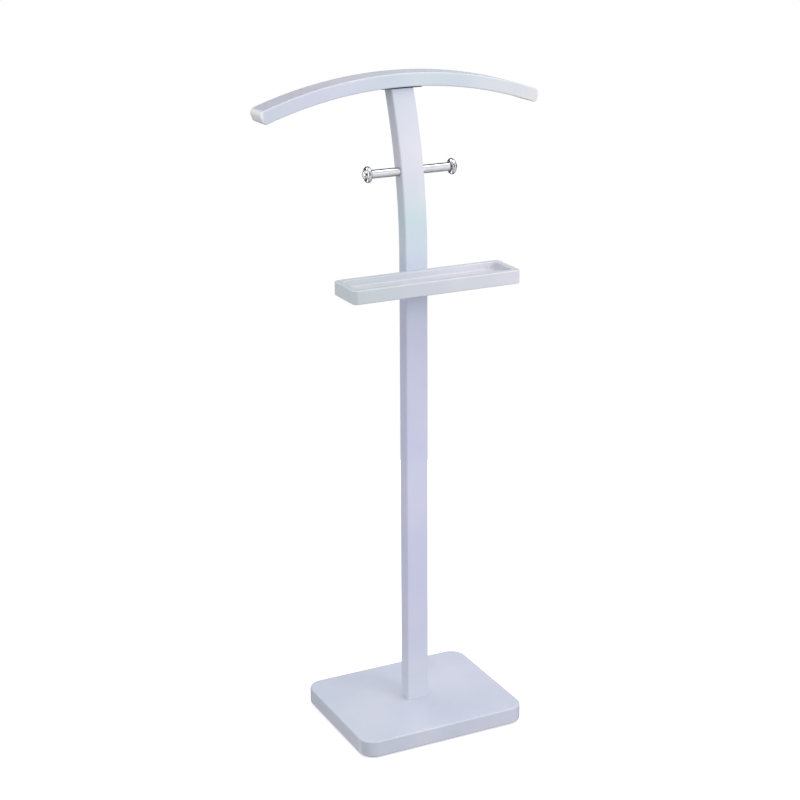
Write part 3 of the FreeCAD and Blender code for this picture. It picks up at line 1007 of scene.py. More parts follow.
def relieved(pattern: Relief) -> Recipe:
    """A pattern cut into the side of a turned piece that lies along +X from the origin.

    Args:
        pattern: a thread, or straight flutes.

    Returns:
        The recipe, with inputs From, To, Depth, Finish, and Pitch for a thread or Flutes for the
        number of flutes.
    """
    recipe = Recipe(pattern.value)
    start, end, depth = (recipe.size(name) for name in ("From", "To", "Depth"))
    place = recipe.node("GeometryNodeInputPosition", {})
    x, y, z = recipe.split(place)
    angle = recipe.sum("ARCTAN2", z, y)
    measure = recipe.size(pattern.measure)
    if pattern is Relief.THREAD:
        turns = recipe.sum("DIVIDE", x, measure)
        turns = recipe.sum("SUBTRACT", turns, recipe.sum("DIVIDE", angle, math.tau))
        slope = recipe.sum("MULTIPLY", recipe.sum("FRACT", turns), 2.0)
        wave = recipe.sum("ABSOLUTE", recipe.sum("SUBTRACT", slope, 1.0))
    else:
        wave = recipe.sum("COSINE", recipe.sum("MULTIPLY", angle, measure))
        wave = recipe.sum("SUBTRACT", 0.5, recipe.sum("MULTIPLY", wave, 0.5))
    after, before = recipe.sum("GREATER_THAN", x, start), recipe.sum("LESS_THAN", x, end)
    inside = recipe.sum("MULTIPLY", after, before)
    cut = recipe.sum("MULTIPLY", recipe.sum("MULTIPLY", wave, depth), inside)
    squares = (recipe.sum("POWER", y, 2.0), recipe.sum("POWER", z, 2.0))
    radius = recipe.sum("SQRT", recipe.sum("ADD", *squares))
    kept = recipe.sum("SUBTRACT", 1.0, recipe.sum("DIVIDE", cut, radius))
    moved = recipe.node(
        "ShaderNodeCombineXYZ",
        {"X": x, "Y": recipe.sum("MULTIPLY", y, kept), "Z": recipe.sum("MULTIPLY", z, kept)},
    )
    body = recipe.inside.outputs["Geometry"]
    return recipe.finish(
        recipe.node("GeometryNodeSetPosition", {"Geometry": body, "Position": moved})
    )


# ------------------------------------------------------------------ shapes shared by pieces
def eased(low: float, high: float, low_radius: float, high_radius: float) -> list[Point]:
    """Levels of a slab whose two outer edges are rounded.

    Args:
        low: its lower face.
        high: its upper face.
        low_radius: of its lower edge.
        high_radius: of its upper edge.

    Returns:
        (inset, level) from the lower face's rim to the upper face's.
    """
    lower = bend((low_radius, low + low_radius), low_radius, 270, 180)
    upper = bend((high_radius, high - high_radius), high_radius, 180, 90)
    return lower + upper


@dataclass(frozen=True)
class Board:
    """A rectangle with round corners, centred on X = 0."""

    width: float
    depth: float
    corner: float
    centre_y: float

    @classmethod
    def over(cls, box: Box, corner: float, room: float = 0.0) -> Board:
        """The outline of a box from above.

        Args:
            box: the box.
            corner: radius of its corners.
            room: added all round, or taken off if it is negative.

        Returns:
            The outline.
        """
        return cls(box.size.x + 2 * room, box.size.y + 2 * room, corner, box.centre.y)

    def ring(self, inset: float, level: float) -> list[Vector]:
        """The outline, drawn in by an inset, at a level.

        Args:
            inset: how far inside the full outline.
            level: height above the floor.

        Returns:
            Points anticlockwise from above.
        """
        corner = max(self.corner - inset, LEAST_CORNER)
        x, y = self.width / 2 - inset - corner, self.depth / 2 - inset - corner
        points = []
        for quarter, (across, deep) in enumerate(((1, 1), (-1, 1), (-1, -1), (1, -1))):
            start = 90 * quarter
            centre = (across * x, deep * y + self.centre_y)
            for px, py in bend(centre, corner, start, start + 90, CORNER_STEPS):
                points.append(Vector((px, py, level)))
        return points

    def rings(self, levels: Sequence[Point]) -> list[list[Vector]]:
        """The outline at each (inset, level)."""
        return [self.ring(inset, level) for inset, level in levels]


def rod(length: float, radius: float, ease: float, hole: float = 0.0) -> list[Point]:
    """The profile of a rod with chamfered ends, or of a ring.

    Args:
        length: of the rod.
        radius: of the rod.
        ease: the chamfer's width.
        hole: radius of the hole through a ring.

    Returns:
        (distance, radius) from one end to the other.
    """
    start = [(0.0, hole), (0.0, radius - ease), (ease, radius)]
    return start + [(length - distance, height) for distance, height in reversed(start)]


def bore(name: str, radius: float, depth: float, mouth: Vector, along: Vector) -> Piece:
    """A cutter for a plain round hole.

    Args:
        name: the cutter's name.
        radius: of the hole.
        depth: of the hole.
        mouth: where it opens.
        along: the way that it goes.

    Returns:
        The cutter.
    """
    profile = [(-OVERSHOOT, 0), (-OVERSHOOT, radius), (depth, radius), (depth, 0)]
    return turned(name, profile, mouth, along)


@dataclass(frozen=True)
class WoodScrew:
    """A countersunk cross-head wood screw, along an axis from the flat face of its head."""

    head_radius: float
    shank_radius: float
    length: float
    tip_length: float = 5 * MM
    tip_radius: float = 0.5 * MM
    pitch: float = 1.8 * MM
    thread_depth: float = 0.7 * MM
    head_ease: float = 0.12 * MM
    smooth_length: float = 4 * MM  # of shank under the head
    arm: float = 2.5 * MM  # half the width of the cross at the face
    blade: float = 0.55 * MM  # half the thickness of an arm at the face
    cross_depth: float = 1.25 * MM
    cross_taper: float = 0.6  # its size at the bottom

    def outline(self, clearance: float, rise: float) -> list[Point]:
        """The screw's turned profile, or its hole's.

        Args:
            clearance: added all round, for a hole.
            rise: how far the profile stands out of the head's face, for a hole.

        Returns:
            (distance, radius) from the head's face to the tip.
        """
        head, shank = self.head_radius + clearance, self.shank_radius + clearance
        length = self.length + clearance
        return [
            (-rise, 0),
            (-rise, head),
            (0, head) if rise else (self.head_ease, head - self.head_ease),
            (head - shank, shank),
            (length - self.tip_length, shank),
            (length, self.tip_radius + clearance),
            (length, 0),
        ]

    def pocket(self, name: str, face: Vector, along: Vector) -> Piece:
        """A cutter for the screw's hole and countersink."""
        return turned(name, self.outline(SEAT_CLEARANCE, OVERSHOOT), face, along)

    def cross(self) -> Piece:
        """A cutter for the cross recess, narrower at its bottom.

        Returns:
            The cutter, along +X from the head's face.
        """
        rings = []
        levels = ((-OVERSHOOT, 1.0), (0.0, 1.0), (self.cross_depth, self.cross_taper))
        for distance, share in levels:
            arm, blade = self.arm * share, self.blade * share
            ring = []
            for quarter in range(4):
                turn = Matrix.Rotation(math.tau * quarter / 4, 3, "X")
                for y, z in ((blade, -blade), (arm, -blade), (arm, blade)):
                    ring.append(turn @ Vector((distance, y, z)))
            rings.append(ring)
        return skin("cross_cutter", rings)

    def made(self, name: str, shop: Workshop) -> Piece:
        """Turns the screw, cuts its thread and sinks its cross.

        Args:
            name: the new piece's name.
            shop: what it is made with.

        Returns:
            The screw, along +X from the origin.
        """
        plain = self.outline(0.0, 0.0)
        head, tip = plain[:4], plain[4:]
        start, end = head[-1][0] + self.smooth_length, self.length - self.tip_length
        step = self.pitch / THREAD_STEPS
        shank = [(start + step * i, self.shank_radius) for i in range(int((end - start) / step))]
        screw = turned(name, head + shank + tip)
        span = (start, self.length - self.tip_radius)
        shop.cut(screw, Relief.THREAD, span, self.thread_depth, self.pitch, Slot.ZINC)
        drilled(screw, [self.cross()])
        return screw


# ------------------------------------------------------------------ sub-assemblies
@dataclass
class Workshop:
    """What every sub-assembly is made with."""

    frame: dict
    finishes: Finishes
    copies: Recipe
    patterns: dict[Relief, Recipe]

    def kept(self, node: str, slot: Slot) -> None:
        """Gives a CAD node that stays its material.

        Args:
            node: the CAD node.
            slot: the record's slot of its finish.
        """
        piece, material = self.frame["nodes"][node], self.finishes.of(slot, node)
        if not piece.material_slots:
            piece.data.materials.append(material)
        for place in piece.material_slots:
            place.material = material
        LOG.info("%s: kept, in %s", node, material.name)

    def cut(
        self, piece: Piece, pattern: Relief, span: Point, depth: float, measure: float, slot: Slot
    ) -> None:
        """Cuts a pattern into the side of a turned piece.

        Args:
            piece: the piece, along +X from the origin.
            pattern: the pattern.
            span: where it starts and ends along the piece.
            depth: of the pattern.
            measure: a thread's pitch, or the number of flutes.
            slot: the record's slot of the piece's finish.
        """
        sizes = {"From": span[0], "To": span[1], "Depth": depth, pattern.measure: measure}
        self.patterns[pattern].applied(piece, {**sizes, "Finish": self.finishes.plain[slot]})

    def completed(self, piece: Piece, slot: Slot, nodes: Sequence[str]) -> None:
        """Smooths a made piece, gives it its finish and hands it over.

        Args:
            piece: the made piece.
            slot: the record's slot of its finish.
            nodes: the CAD nodes that it replaces.
        """
        smoothed(piece)
        dressed(piece, self.finishes.of(slot, nodes[0]))
        handed_over(piece, nodes)

    def repeated(
        self,
        piece: Piece,
        slot: Slot,
        nodes: Sequence[str],
        right: Vector,
        facing: Vector = AHEAD,
        left_turn: float = 0.0,
        row_spacing: float = 0.0,
    ) -> None:
        """Completes a piece as copies on both sides of the stand's middle.

        Args:
            piece: what is copied, made at the origin along +X.
            slot: the record's slot of its finish.
            nodes: the CAD nodes that the copies replace.
            right: where the right-hand copy starts, or the middle of the right-hand column.
            facing: angles that turn each copy.
            left_turn: angle about Z that turns those on the left as well.
            row_spacing: from the front row to the back one, or 0 for a single row.
        """
        self.copies.applied(
            piece,
            {
                "Facing": tuple(facing),
                "Left Turn": left_turn,
                "Columns": 2,
                "Rows": 2 if row_spacing else 1,
                "Spacing X": 2 * right.x,
                "Spacing Y": row_spacing,
                "Centre": (0.0, right.y, right.z),
                "Finish": self.finishes.of(slot, nodes[0]),
            },
        )
        self.completed(piece, slot, nodes)


@dataclass
class Base:
    """The base board with its pads, and what bolts the post to it."""

    shop: Workshop
    corner: float = 28 * MM
    top_edge: float = 2.5 * MM
    under_edge: float = 4 * MM
    recess_radius: float = 7.5 * MM
    recess_depth: float = 12 * MM
    recess_ease: float = 0.5 * MM
    bolt_shank: float = 3 * MM
    bolt_head: float = 6 * MM
    bolt_plain: float = 6 * MM  # length of shank without a thread
    bolt_pitch: float = 1.0 * MM
    thread_depth: float = 0.55 * MM
    socket_flats: float = 5 * MM
    socket_depth: float = 3 * MM
    knurls: int = 24
    knurl_steps: int = 2  # facets to one knurl
    knurl_depth: float = 0.22 * MM
    knurl_stop: float = 0.5 * MM  # from the end of the knurls to the head's far edge
    bolt_ease: float = 0.35 * MM
    washer_ease: float = 0.25 * MM
    pad_edge: float = 0.8 * MM
    pad_grooves: tuple[float, ...] = (4.0 * MM, 7.4 * MM)  # middle radius of each groove
    groove_width: float = 1.2 * MM
    groove_depth: float = 0.45 * MM
    dowel_flutes: int = 16
    flute_steps: int = 6  # facets to one flute
    dowel_flute_depth: float = 0.35 * MM
    dowel_chamfer: float = 1.0 * MM

    def board(self) -> None:
        """Makes the painted board with its recesses."""
        box = Box.of("base_board")
        bolt = Box.of(Side.RIGHT.node("foot_bolt"))
        dowel = Box.of("foot_dowel")
        levels = eased(box.low.z, box.high.z, self.under_edge, self.top_edge)
        board = skin("base_board_painted", Board.over(box, self.corner).rings(levels))
        wide = self.recess_radius + self.recess_ease
        recess = [(-OVERSHOOT, 0), (-OVERSHOOT, wide), (0, wide)]
        recess += [(self.recess_ease, self.recess_radius), (self.recess_depth, self.recess_radius)]
        recess.append((self.recess_depth, 0))
        cutters = []
        for side in Side:
            under = Vector((side.value * bolt.centre.x, bolt.centre.y, box.low.z))
            hole = self.bolt_shank + HOLE_CLEARANCE
            cutters.append(turned(f"recess_{side.name}", recess, under, Z_AXIS))
            cutters.append(bore(f"bolt_hole_{side.name}", hole, box.size.z * 2, under, Z_AXIS))
        mouth = Vector((0, dowel.centre.y, box.high.z))
        sunk = box.high.z - dowel.low.z
        cutters.append(bore("dowel_hole", dowel.size.x / 2 + SEAT_CLEARANCE, sunk, mouth, -Z_AXIS))
        drilled(board, cutters)
        self.shop.completed(board, Slot.PAINT, ["base_board"])

    def pads(self) -> None:
        """Makes the four pads, ringed underneath."""
        nodes = [*both("foot_pad_front"), *both("foot_pad_back")]
        single, every = Box.of(Side.RIGHT.node("foot_pad_front")), Box.of(*nodes)
        radius, thick, edge = single.size.x / 2, single.size.z, self.pad_edge
        profile = [(0.0, 0.0), (0.0, radius)]
        profile += bend((thick - edge, radius - edge), edge, 90, 0)
        for middle in reversed(self.pad_grooves):
            floor = thick - self.groove_depth
            half = self.groove_width / 2
            slope = self.groove_depth / 2
            profile += [(thick, middle + half), (floor, middle + half - slope)]
            profile += [(floor, middle - half + slope), (thick, middle - half)]
        profile.append((thick, 0.0))
        pads = turned("foot_pads", profile)
        right = Vector((single.centre.x, every.centre.y, every.high.z))
        spacing = every.size.y - single.size.y
        self.shop.repeated(pads, Slot.PAD, nodes, right, DOWNWARDS, row_spacing=spacing)

    def bolts(self) -> None:
        """Makes the two socket-head bolts, with knurled heads and threaded shanks."""
        box = Box.of(Side.RIGHT.node("foot_bolt"))
        head, shank, ease = box.size.x / 2, self.bolt_shank, self.bolt_ease
        length, thread_start = box.size.z, self.bolt_head + self.bolt_plain
        step = self.bolt_pitch / THREAD_STEPS
        count = int((length - thread_start) / step)
        profile = [(0.0, 0.0), (0.0, head - ease), (ease, head), (self.bolt_head - ease, head)]
        profile += [(self.bolt_head, head - ease), (self.bolt_head, shank)]
        profile += [(thread_start + step * turn, shank) for turn in range(count)]
        profile += [(length - ease, shank), (length, shank - ease), (length, 0.0)]
        bolts = turned("foot_bolts", profile, steps=self.knurl_steps * self.knurls)
        span = (ease / 2, self.bolt_head - ease - self.knurl_stop)
        self.shop.cut(bolts, Relief.FLUTES, span, self.knurl_depth, self.knurls, Slot.ZINC)
        span = (thread_start, length - ease / 2)
        self.shop.cut(bolts, Relief.THREAD, span, self.thread_depth, self.bolt_pitch, Slot.ZINC)
        corner = self.socket_flats / math.sqrt(3)
        socket = [(-OVERSHOOT, 0), (-OVERSHOOT, corner), (self.socket_depth, corner)]
        socket.append((self.socket_depth, 0))
        drilled(bolts, [turned("socket", socket, steps=SOCKET_SIDES)])
        self.shop.repeated(bolts, Slot.ZINC, both("foot_bolt"), box.foot, UPWARDS)

    def washers(self) -> None:
        """Makes the two flat washers."""
        box = Box.of(Side.RIGHT.node("foot_washer"))
        inner, outer, ease = self.bolt_shank + HOLE_CLEARANCE, box.size.x / 2, self.washer_ease
        washers = turned("foot_washers", rod(box.size.z, outer, ease, inner), looped=True)
        self.shop.repeated(washers, Slot.ZINC, both("foot_washer"), box.foot, UPWARDS)

    def dowel(self) -> None:
        """Makes the fluted dowel."""
        box = Box.of("foot_dowel")
        profile = rod(box.size.z, box.size.x / 2, self.dowel_chamfer)
        dowel = turned("foot_dowel_fluted", profile, steps=self.flute_steps * self.dowel_flutes)
        span, flutes = (-OVERSHOOT, box.size.z + OVERSHOOT), self.dowel_flutes
        self.shop.cut(dowel, Relief.FLUTES, span, self.dowel_flute_depth, flutes, Slot.BEECH)
        upright = Matrix.Rotation(-math.pi / 2, 4, "Y")
        dowel.data.transform(Matrix.Translation(box.foot) @ upright)
        self.shop.completed(dowel, Slot.BEECH, ["foot_dowel"])

    def build(self) -> None:
        """Makes everything at the foot."""
        self.board()
        self.pads()
        self.bolts()
        self.washers()
        self.dowel()
        for node in both("foot_insert"):
            self.shop.kept(node, Slot.BRASS)


@dataclass
class Post:
    """The bowed post."""

    shop: Workshop
    depth: float = 26 * MM
    edge: float = 2.5 * MM
    bow_start: float = 831.5 * MM
    bow_radius: float = 775 * MM  # of the front face
    spare: float = 26 * MM  # sawn off the top
    stations: int = 150

    def cutters(self, box: Box, screws: Screws) -> list[Piece]:
        """The cutters for the post's holes.

        Args:
            box: the post's box.
            screws: the wood screws that go into the post.

        Returns:
            The cutters.
        """
        dowel, stud = Box.of("foot_dowel"), Box.of("peg_stud")
        insert = Box.of(Side.RIGHT.node("foot_insert"))
        foot = Vector((0, dowel.centre.y, box.low.z))
        peg_hole = Vector((box.low.x, stud.centre.y, stud.centre.z))
        cross_radius = stud.size.z / 2 + HOLE_CLEARANCE
        dowel_radius = dowel.size.x / 2 + SEAT_CLEARANCE
        holes = [
            bore("dowel_hole", dowel_radius, dowel.high.z - box.low.z, foot, Z_AXIS),
            bore("peg_hole", cross_radius, box.size.x + OVERSHOOT, peg_hole, X_AXIS),
        ]
        for side in Side:
            seat = Vector((side.value * insert.centre.x, foot.y, foot.z))
            radius = insert.size.x / 2 + SEAT_CLEARANCE
            holes.append(bore(f"insert_hole_{side.name}", radius, insert.size.z, seat, Z_AXIS))
        return holes + screws.post_cutters()

    def build(self, screws: Screws) -> None:
        """Makes the post.

        Args:
            screws: the wood screws that go into it.
        """
        box = Box.of("post")
        middle_radius, inner_radius = self.bow_radius - self.depth / 2, self.bow_radius - self.depth
        end = math.asin((box.high.z + self.spare - self.bow_start) / inner_radius)
        post = shown("post_painted", bpy.data.meshes.new("post_painted"))
        bowed_bar().applied(
            post,
            {
                "Foot": box.low.z,
                "Middle": box.low.y + self.depth / 2,
                "Straight": self.bow_start - box.low.z,
                "Bow": middle_radius * end,
                "Bow Radius": middle_radius,
                "Width": box.size.x,
                "Depth": self.depth,
                "Edge": self.edge,
                "Top": box.high.z,
                "Stations": self.stations,
                "Finish": self.shop.finishes.paint["post"],
            },
        )
        drilled(post, self.cutters(box, screws))
        self.shop.completed(post, Slot.PAINT, ["post"])


@dataclass
class Tray:
    """The tray in front of the post."""

    shop: Workshop
    corner: float = 9 * MM
    edge: float = 2 * MM
    rim: float = 11 * MM
    rim_edge: float = 1.2 * MM
    recess_depth: float = 12 * MM
    recess_corner: float = 8 * MM
    floor_radius: float = 3 * MM

    def build(self, screws: Screws) -> None:
        """Makes the tray with its routed recess.

        Args:
            screws: the wood screws that go into it.
        """
        box = Box.of("tray")
        top, floor = box.high.z, box.high.z - self.recess_depth
        outline = Board.over(box, self.corner)
        recess = Board.over(box, self.recess_corner, -self.rim)
        lip = bend((-self.rim_edge, top - self.rim_edge), self.rim_edge, 90, 0)
        foot = (self.floor_radius, floor + self.floor_radius)
        lip += bend(foot, self.floor_radius, 180, 270)
        outside = outline.rings(eased(box.low.z, top, self.edge, self.edge))
        tray = skin("tray_painted", outside + recess.rings(lip))
        drilled(tray, screws.tray.pockets())
        self.shop.completed(tray, Slot.PAINT, ["tray"])


@dataclass
class Hanger:
    """The arched hanger bar and the steel plate under it."""

    shop: Workshop
    thickness: float = 22.5 * MM
    top_radius: float = 735 * MM
    top_corner: float = 9 * MM
    under_corner: float = 7 * MM
    edge: float = 2.5 * MM
    arch_steps: int = 72  # facets along half the arch
    plate_corner: float = 3 * MM
    plate_ease: float = 0.35 * MM
    seat_clearance: float = 0.5 * MM

    def half_outline(self, inset: float, half_width: float) -> list[Point]:
        """Half of the bar's front outline, from the middle of its top to the middle below.

        Args:
            inset: how far inside the full outline.
            half_width: of the whole bar.

        Returns:
            (X, height above the arch's centre) of each point.
        """
        upper = self.top_radius - self.top_corner
        lower = self.top_radius - self.thickness + self.under_corner
        upper_turn = math.asin(self.top_corner / upper)
        lower_turn = math.asin(self.under_corner / lower)
        on_top = math.asin((half_width - self.top_corner) / upper)
        end = on_top + upper_turn
        below = end - lower_turn
        top, under = self.top_radius - inset, self.top_radius - self.thickness + inset
        points = []
        for step in range(self.arch_steps):
            angle = on_top * step / self.arch_steps
            points.append((top * math.sin(angle), top * math.cos(angle)))
        corners = (
            (upper, on_top, self.top_corner - inset, on_top, end + math.pi / 2),
            (lower, below, self.under_corner - inset, end + math.pi / 2, below + math.pi),
        )
        for reach, angle, radius, first, last in corners:
            centre = (reach * math.sin(angle), reach * math.cos(angle))
            turn = [90 - math.degrees(first), 90 - math.degrees(last)]
            points += bend(centre, radius, turn[0], turn[1], CORNER_STEPS)
        for step in range(1, self.arch_steps + 1):
            angle = below * (1 - step / self.arch_steps)
            points.append((under * math.sin(angle), under * math.cos(angle)))
        return points

    def bar(self, screws: Screws) -> None:
        """Makes the bar with its seat for the plate.

        Args:
            screws: the wood screws that go into it.
        """
        box, plate = Box.of("hanger_bar"), Box.of("head_plate")
        centre_z = box.high.z - self.top_radius
        rings = []
        for inset, y in eased(box.low.y, box.high.y, self.edge, self.edge):
            half = self.half_outline(inset, box.size.x / 2)
            whole = half + [(-x, z) for x, z in reversed(half[1:-1])]
            rings.append([Vector((x, y, centre_z + z)) for x, z in whole])
        bar = skin("hanger_bar_painted", rings)
        seat = Board.over(plate, self.plate_corner, self.seat_clearance)
        cutter = skin("seat", seat.rings([(0, plate.high.z - self.thickness), (0, plate.high.z)]))
        drilled(bar, [cutter, *screws.hanger.pockets()])
        self.shop.completed(bar, Slot.PAINT, ["hanger_bar"])

    def plate(self, screws: Screws) -> None:
        """Makes the steel plate with its countersunk holes.

        Args:
            screws: the wood screws that go through it.
        """
        box = Box.of("head_plate")
        levels = eased(box.low.z, box.high.z, self.plate_ease, self.plate_ease)
        outline = Board.over(box, self.plate_corner)
        plate = skin("head_plate_blackened", outline.rings(levels))
        drilled(plate, [*screws.hanger.pockets(), *screws.head.pockets()])
        self.shop.completed(plate, Slot.DARK_STEEL, ["head_plate"])

    def build(self, screws: Screws) -> None:
        """Makes the bar and its plate.

        Args:
            screws: the wood screws that join them.
        """
        self.bar(screws)
        self.plate(screws)


@dataclass(frozen=True)
class ScrewPair:
    """A pair of wood screws, one on each side of the stand's middle."""

    stem: str  # the CAD nodes' name without the side
    shank: float  # radius
    along: Vector  # the way that they point
    facing: Vector  # angles that turn them that way from +X

    def screw(self) -> WoodScrew:
        """Measures the screw.

        Returns:
            The screw, as wide and as long as its CAD node.
        """
        size = Box.of(Side.RIGHT.node(self.stem)).size
        return WoodScrew(size.x / 2, self.shank, abs(size.dot(self.along)))

    def face(self, side: Side) -> Vector:
        """The middle of the flat face of one screw's head."""
        centre = Box.of(side.node(self.stem)).centre
        return centre - self.along * (self.screw().length / 2)

    def pockets(self) -> list[Piece]:
        """Cutters for the screws' holes.

        Returns:
            The cutters, left then right.
        """
        cutters = []
        for side in Side:
            name = f"{self.stem}_hole_{side.name}"
            cutters.append(self.screw().pocket(name, self.face(side), self.along))
        return cutters

    def build(self, shop: Workshop) -> None:
        """Makes the two screws.

        Args:
            shop: what they are made with.
        """
        made = self.screw().made(f"{self.stem}s", shop)
        shop.repeated(made, Slot.ZINC, both(self.stem), self.face(Side.RIGHT), self.facing)


@dataclass
class Screws:
    """The stand's wood screws, and the caps over the tray's."""

    shop: Workshop
    tray: ScrewPair = ScrewPair("tray_screw", 2.5 * MM, -Y_AXIS, FORWARDS)
    hanger: ScrewPair = ScrewPair("hanger_screw", 2.25 * MM, Z_AXIS, UPWARDS)
    head: ScrewPair = ScrewPair("post_head_screw", 2.25 * MM, -Z_AXIS, DOWNWARDS)
    cap_stem: float = 4.98 * MM
    cap_edge: float = 1.1 * MM
    cap_recess: float = 5.0 * MM
    cap_crown: float = 0.3 * MM
    cap_ease: float = 0.3 * MM
    cap_slope: float = 8.0  # degrees where the edge meets the dome

    def post_cutters(self) -> list[Piece]:
        """Cutters for every wood screw and cap in the post.

        Returns:
            The cutters.
        """
        recesses = []
        for side in Side:
            screw, cap = Box.of(side.node("tray_screw")), Box.of(side.node("tray_screw_cap"))
            depth = cap.centre.y - screw.high.y
            name = f"cap_hole_{side.name}"
            recesses.append(bore(name, self.cap_recess, depth, cap.centre, -Y_AXIS))
        return [*recesses, *self.tray.pockets(), *self.head.pockets()]

    def caps(self) -> None:
        """Makes the two low-domed caps on the post's back."""
        box = Box.of(Side.RIGHT.node("tray_screw_cap"))
        radius, half, edge = box.size.x / 2, box.size.y / 2, self.cap_edge
        domed = half - self.cap_crown
        profile = [(-half, 0), (-half, self.cap_stem - self.cap_ease)]
        profile += [(self.cap_ease - half, self.cap_stem), (0, self.cap_stem), (0, radius)]
        profile += bend((domed - edge, radius - edge), edge, 90, self.cap_slope)
        rim = profile[-1]
        for step in range(1, EDGE_STEPS + 1):
            share = step / EDGE_STEPS
            rise = (half - rim[0]) * math.sin(share * math.pi / 2)
            profile.append((rim[0] + rise, rim[1] * (1 - share)))
        caps = turned("tray_screw_caps", profile)
        self.shop.repeated(caps, Slot.CAP, both("tray_screw_cap"), box.centre, BACKWARDS)

    def build(self) -> None:
        """Makes every wood screw and the caps."""
        for pair in (self.tray, self.hanger, self.head):
            pair.build(self.shop)
        self.caps()


@dataclass
class Pegs:
    """The two plated pegs, their turned knobs, and the stud that they screw onto."""

    shop: Workshop
    end_ease: float = 0.6 * MM
    stud_pitch: float = 1.0 * MM
    stud_thread: float = 0.5 * MM
    stud_bore: float = 3.02 * MM
    stud_bite: float = 18 * MM
    spigot_radius: float = 3.0 * MM
    spigot_bite: float = 12 * MM
    spigot_ease: float = 0.5 * MM
    rim_thickness: float = 8 * MM
    rim_wrap: float = 20.0  # degrees that the rim's round goes past its widest
    neck_radius: float = 8.4 * MM  # of the step between the peg and the rim
    neck_length: float = 0.9 * MM
    dome_radius: float = 8.6 * MM
    groove_depth: float = 0.9 * MM
    groove_width: float = 1.3 * MM
    rim_steps: int = 24

    def tubes(self) -> None:
        """Makes the two pegs, bored at both ends."""
        box = Box.of(Side.RIGHT.node("peg"))
        radius, length, ease = box.size.z / 2, box.size.x, self.end_ease
        profile = [(self.stud_bite, 0), (self.stud_bite, self.stud_bore), (0, self.stud_bore)]
        profile += bend((ease, radius - ease), ease, 180, 90)
        profile += bend((length - ease, radius - ease), ease, 90, 0)
        bore_end = length - self.spigot_bite
        spigot_bore = self.spigot_radius + SEAT_CLEARANCE
        profile += [(length, spigot_bore), (bore_end, spigot_bore), (bore_end, 0)]
        pegs = turned("pegs_plated", profile, steps=ROUND_STEPS)
        self.paired(pegs, "peg", box.low.x)

    def paired(self, piece: Piece, stem: str, inner: float) -> None:
        """Copies a plated piece to both sides of the post, each facing outwards.

        Args:
            piece: the piece, made at the origin along +X.
            stem: the CAD nodes' name without the side.
            inner: where it starts, from the middle of the post.
        """
        centre = Box.of(Side.RIGHT.node(stem)).centre
        start = Vector((inner, centre.y, centre.z))
        self.shop.repeated(piece, Slot.CHROME, both(stem), start, left_turn=math.pi)

    def knobs(self) -> None:
        """Makes the two knobs: a stepped neck, a full-round rim, a groove and a dome."""
        box = Box.of(Side.RIGHT.node("peg_knob"))
        rim, half = box.size.z / 2, self.rim_thickness / 2
        dome_height = box.size.x - self.spigot_bite - self.rim_thickness
        spigot = self.spigot_radius
        profile = [(-self.spigot_bite, 0), (-self.spigot_bite, spigot - self.spigot_ease)]
        profile += [(self.spigot_ease - self.spigot_bite, spigot), (0, spigot)]
        profile += [(0, self.neck_radius), (self.neck_length, self.neck_radius)]
        wrap = (180 + self.rim_wrap, -self.rim_wrap)
        profile += bend((half, rim - half), half, *wrap, self.rim_steps)
        face = self.rim_thickness - self.groove_depth
        inner = self.dome_radius - self.groove_width / 2
        profile += [(face, rim - half - self.groove_width / 2), (face, inner)]
        rise = dome_height + self.groove_depth
        sphere = (inner**2 + rise**2) / (2 * rise)
        widest = math.degrees(math.asin(min(inner / sphere, 1.0)))
        dome = bend((face + rise - sphere, 0), sphere, widest, 0, self.rim_steps)
        profile += [(distance, max(radius, 0.0)) for distance, radius in dome]
        knobs = turned("peg_knobs_plated", profile, steps=ROUND_STEPS)
        self.paired(knobs, "peg_knob", box.low.x + self.spigot_bite)

    def stud(self) -> None:
        """Makes the threaded stud through the post."""
        box = Box.of("peg_stud")
        radius, length, ease = box.size.z / 2, box.size.x, self.end_ease
        step = self.stud_pitch / THREAD_STEPS
        profile = [(0, 0), (0, radius - ease)]
        count = int((length - 2 * ease) / step) + 1
        profile += [(ease + step * turn, radius) for turn in range(count)]
        profile += [(length, radius - ease), (length, 0)]
        stud = turned("peg_stud_threaded", profile)
        span, pitch = (0.0, length), self.stud_pitch
        self.shop.cut(stud, Relief.THREAD, span, self.stud_thread, pitch, Slot.ZINC)
        stud.data.transform(Matrix.Translation(Vector((box.low.x, box.centre.y, box.centre.z))))
        self.shop.completed(stud, Slot.ZINC, ["peg_stud"])

    def build(self) -> None:
        """Makes the pegs, knobs and stud."""
        self.tubes()
        self.knobs()
        self.stud()


# ------------------------------------------------------------------ studio
@dataclass(frozen=True)
class Lamp:
    """A soft square light."""

    name: str
    place: Vector
    power: float
    size: float = 1.6
    aim: Vector = Vector((0, 0, 0.9))

    def hung(self) -> None:
        """Puts the light in the scene."""
        light = bpy.data.lights.new(self.name, "AREA")
        light.size = self.size
        light.energy = self.power
        lamp = bpy.data.objects.new(self.name, light)
        lamp.visible_glossy = False
        lamp.location = self.place
        lamp.rotation_euler = (self.aim - self.place).to_track_quat("-Z", "Y").to_euler()
        bpy.context.scene.collection.objects.link(lamp)


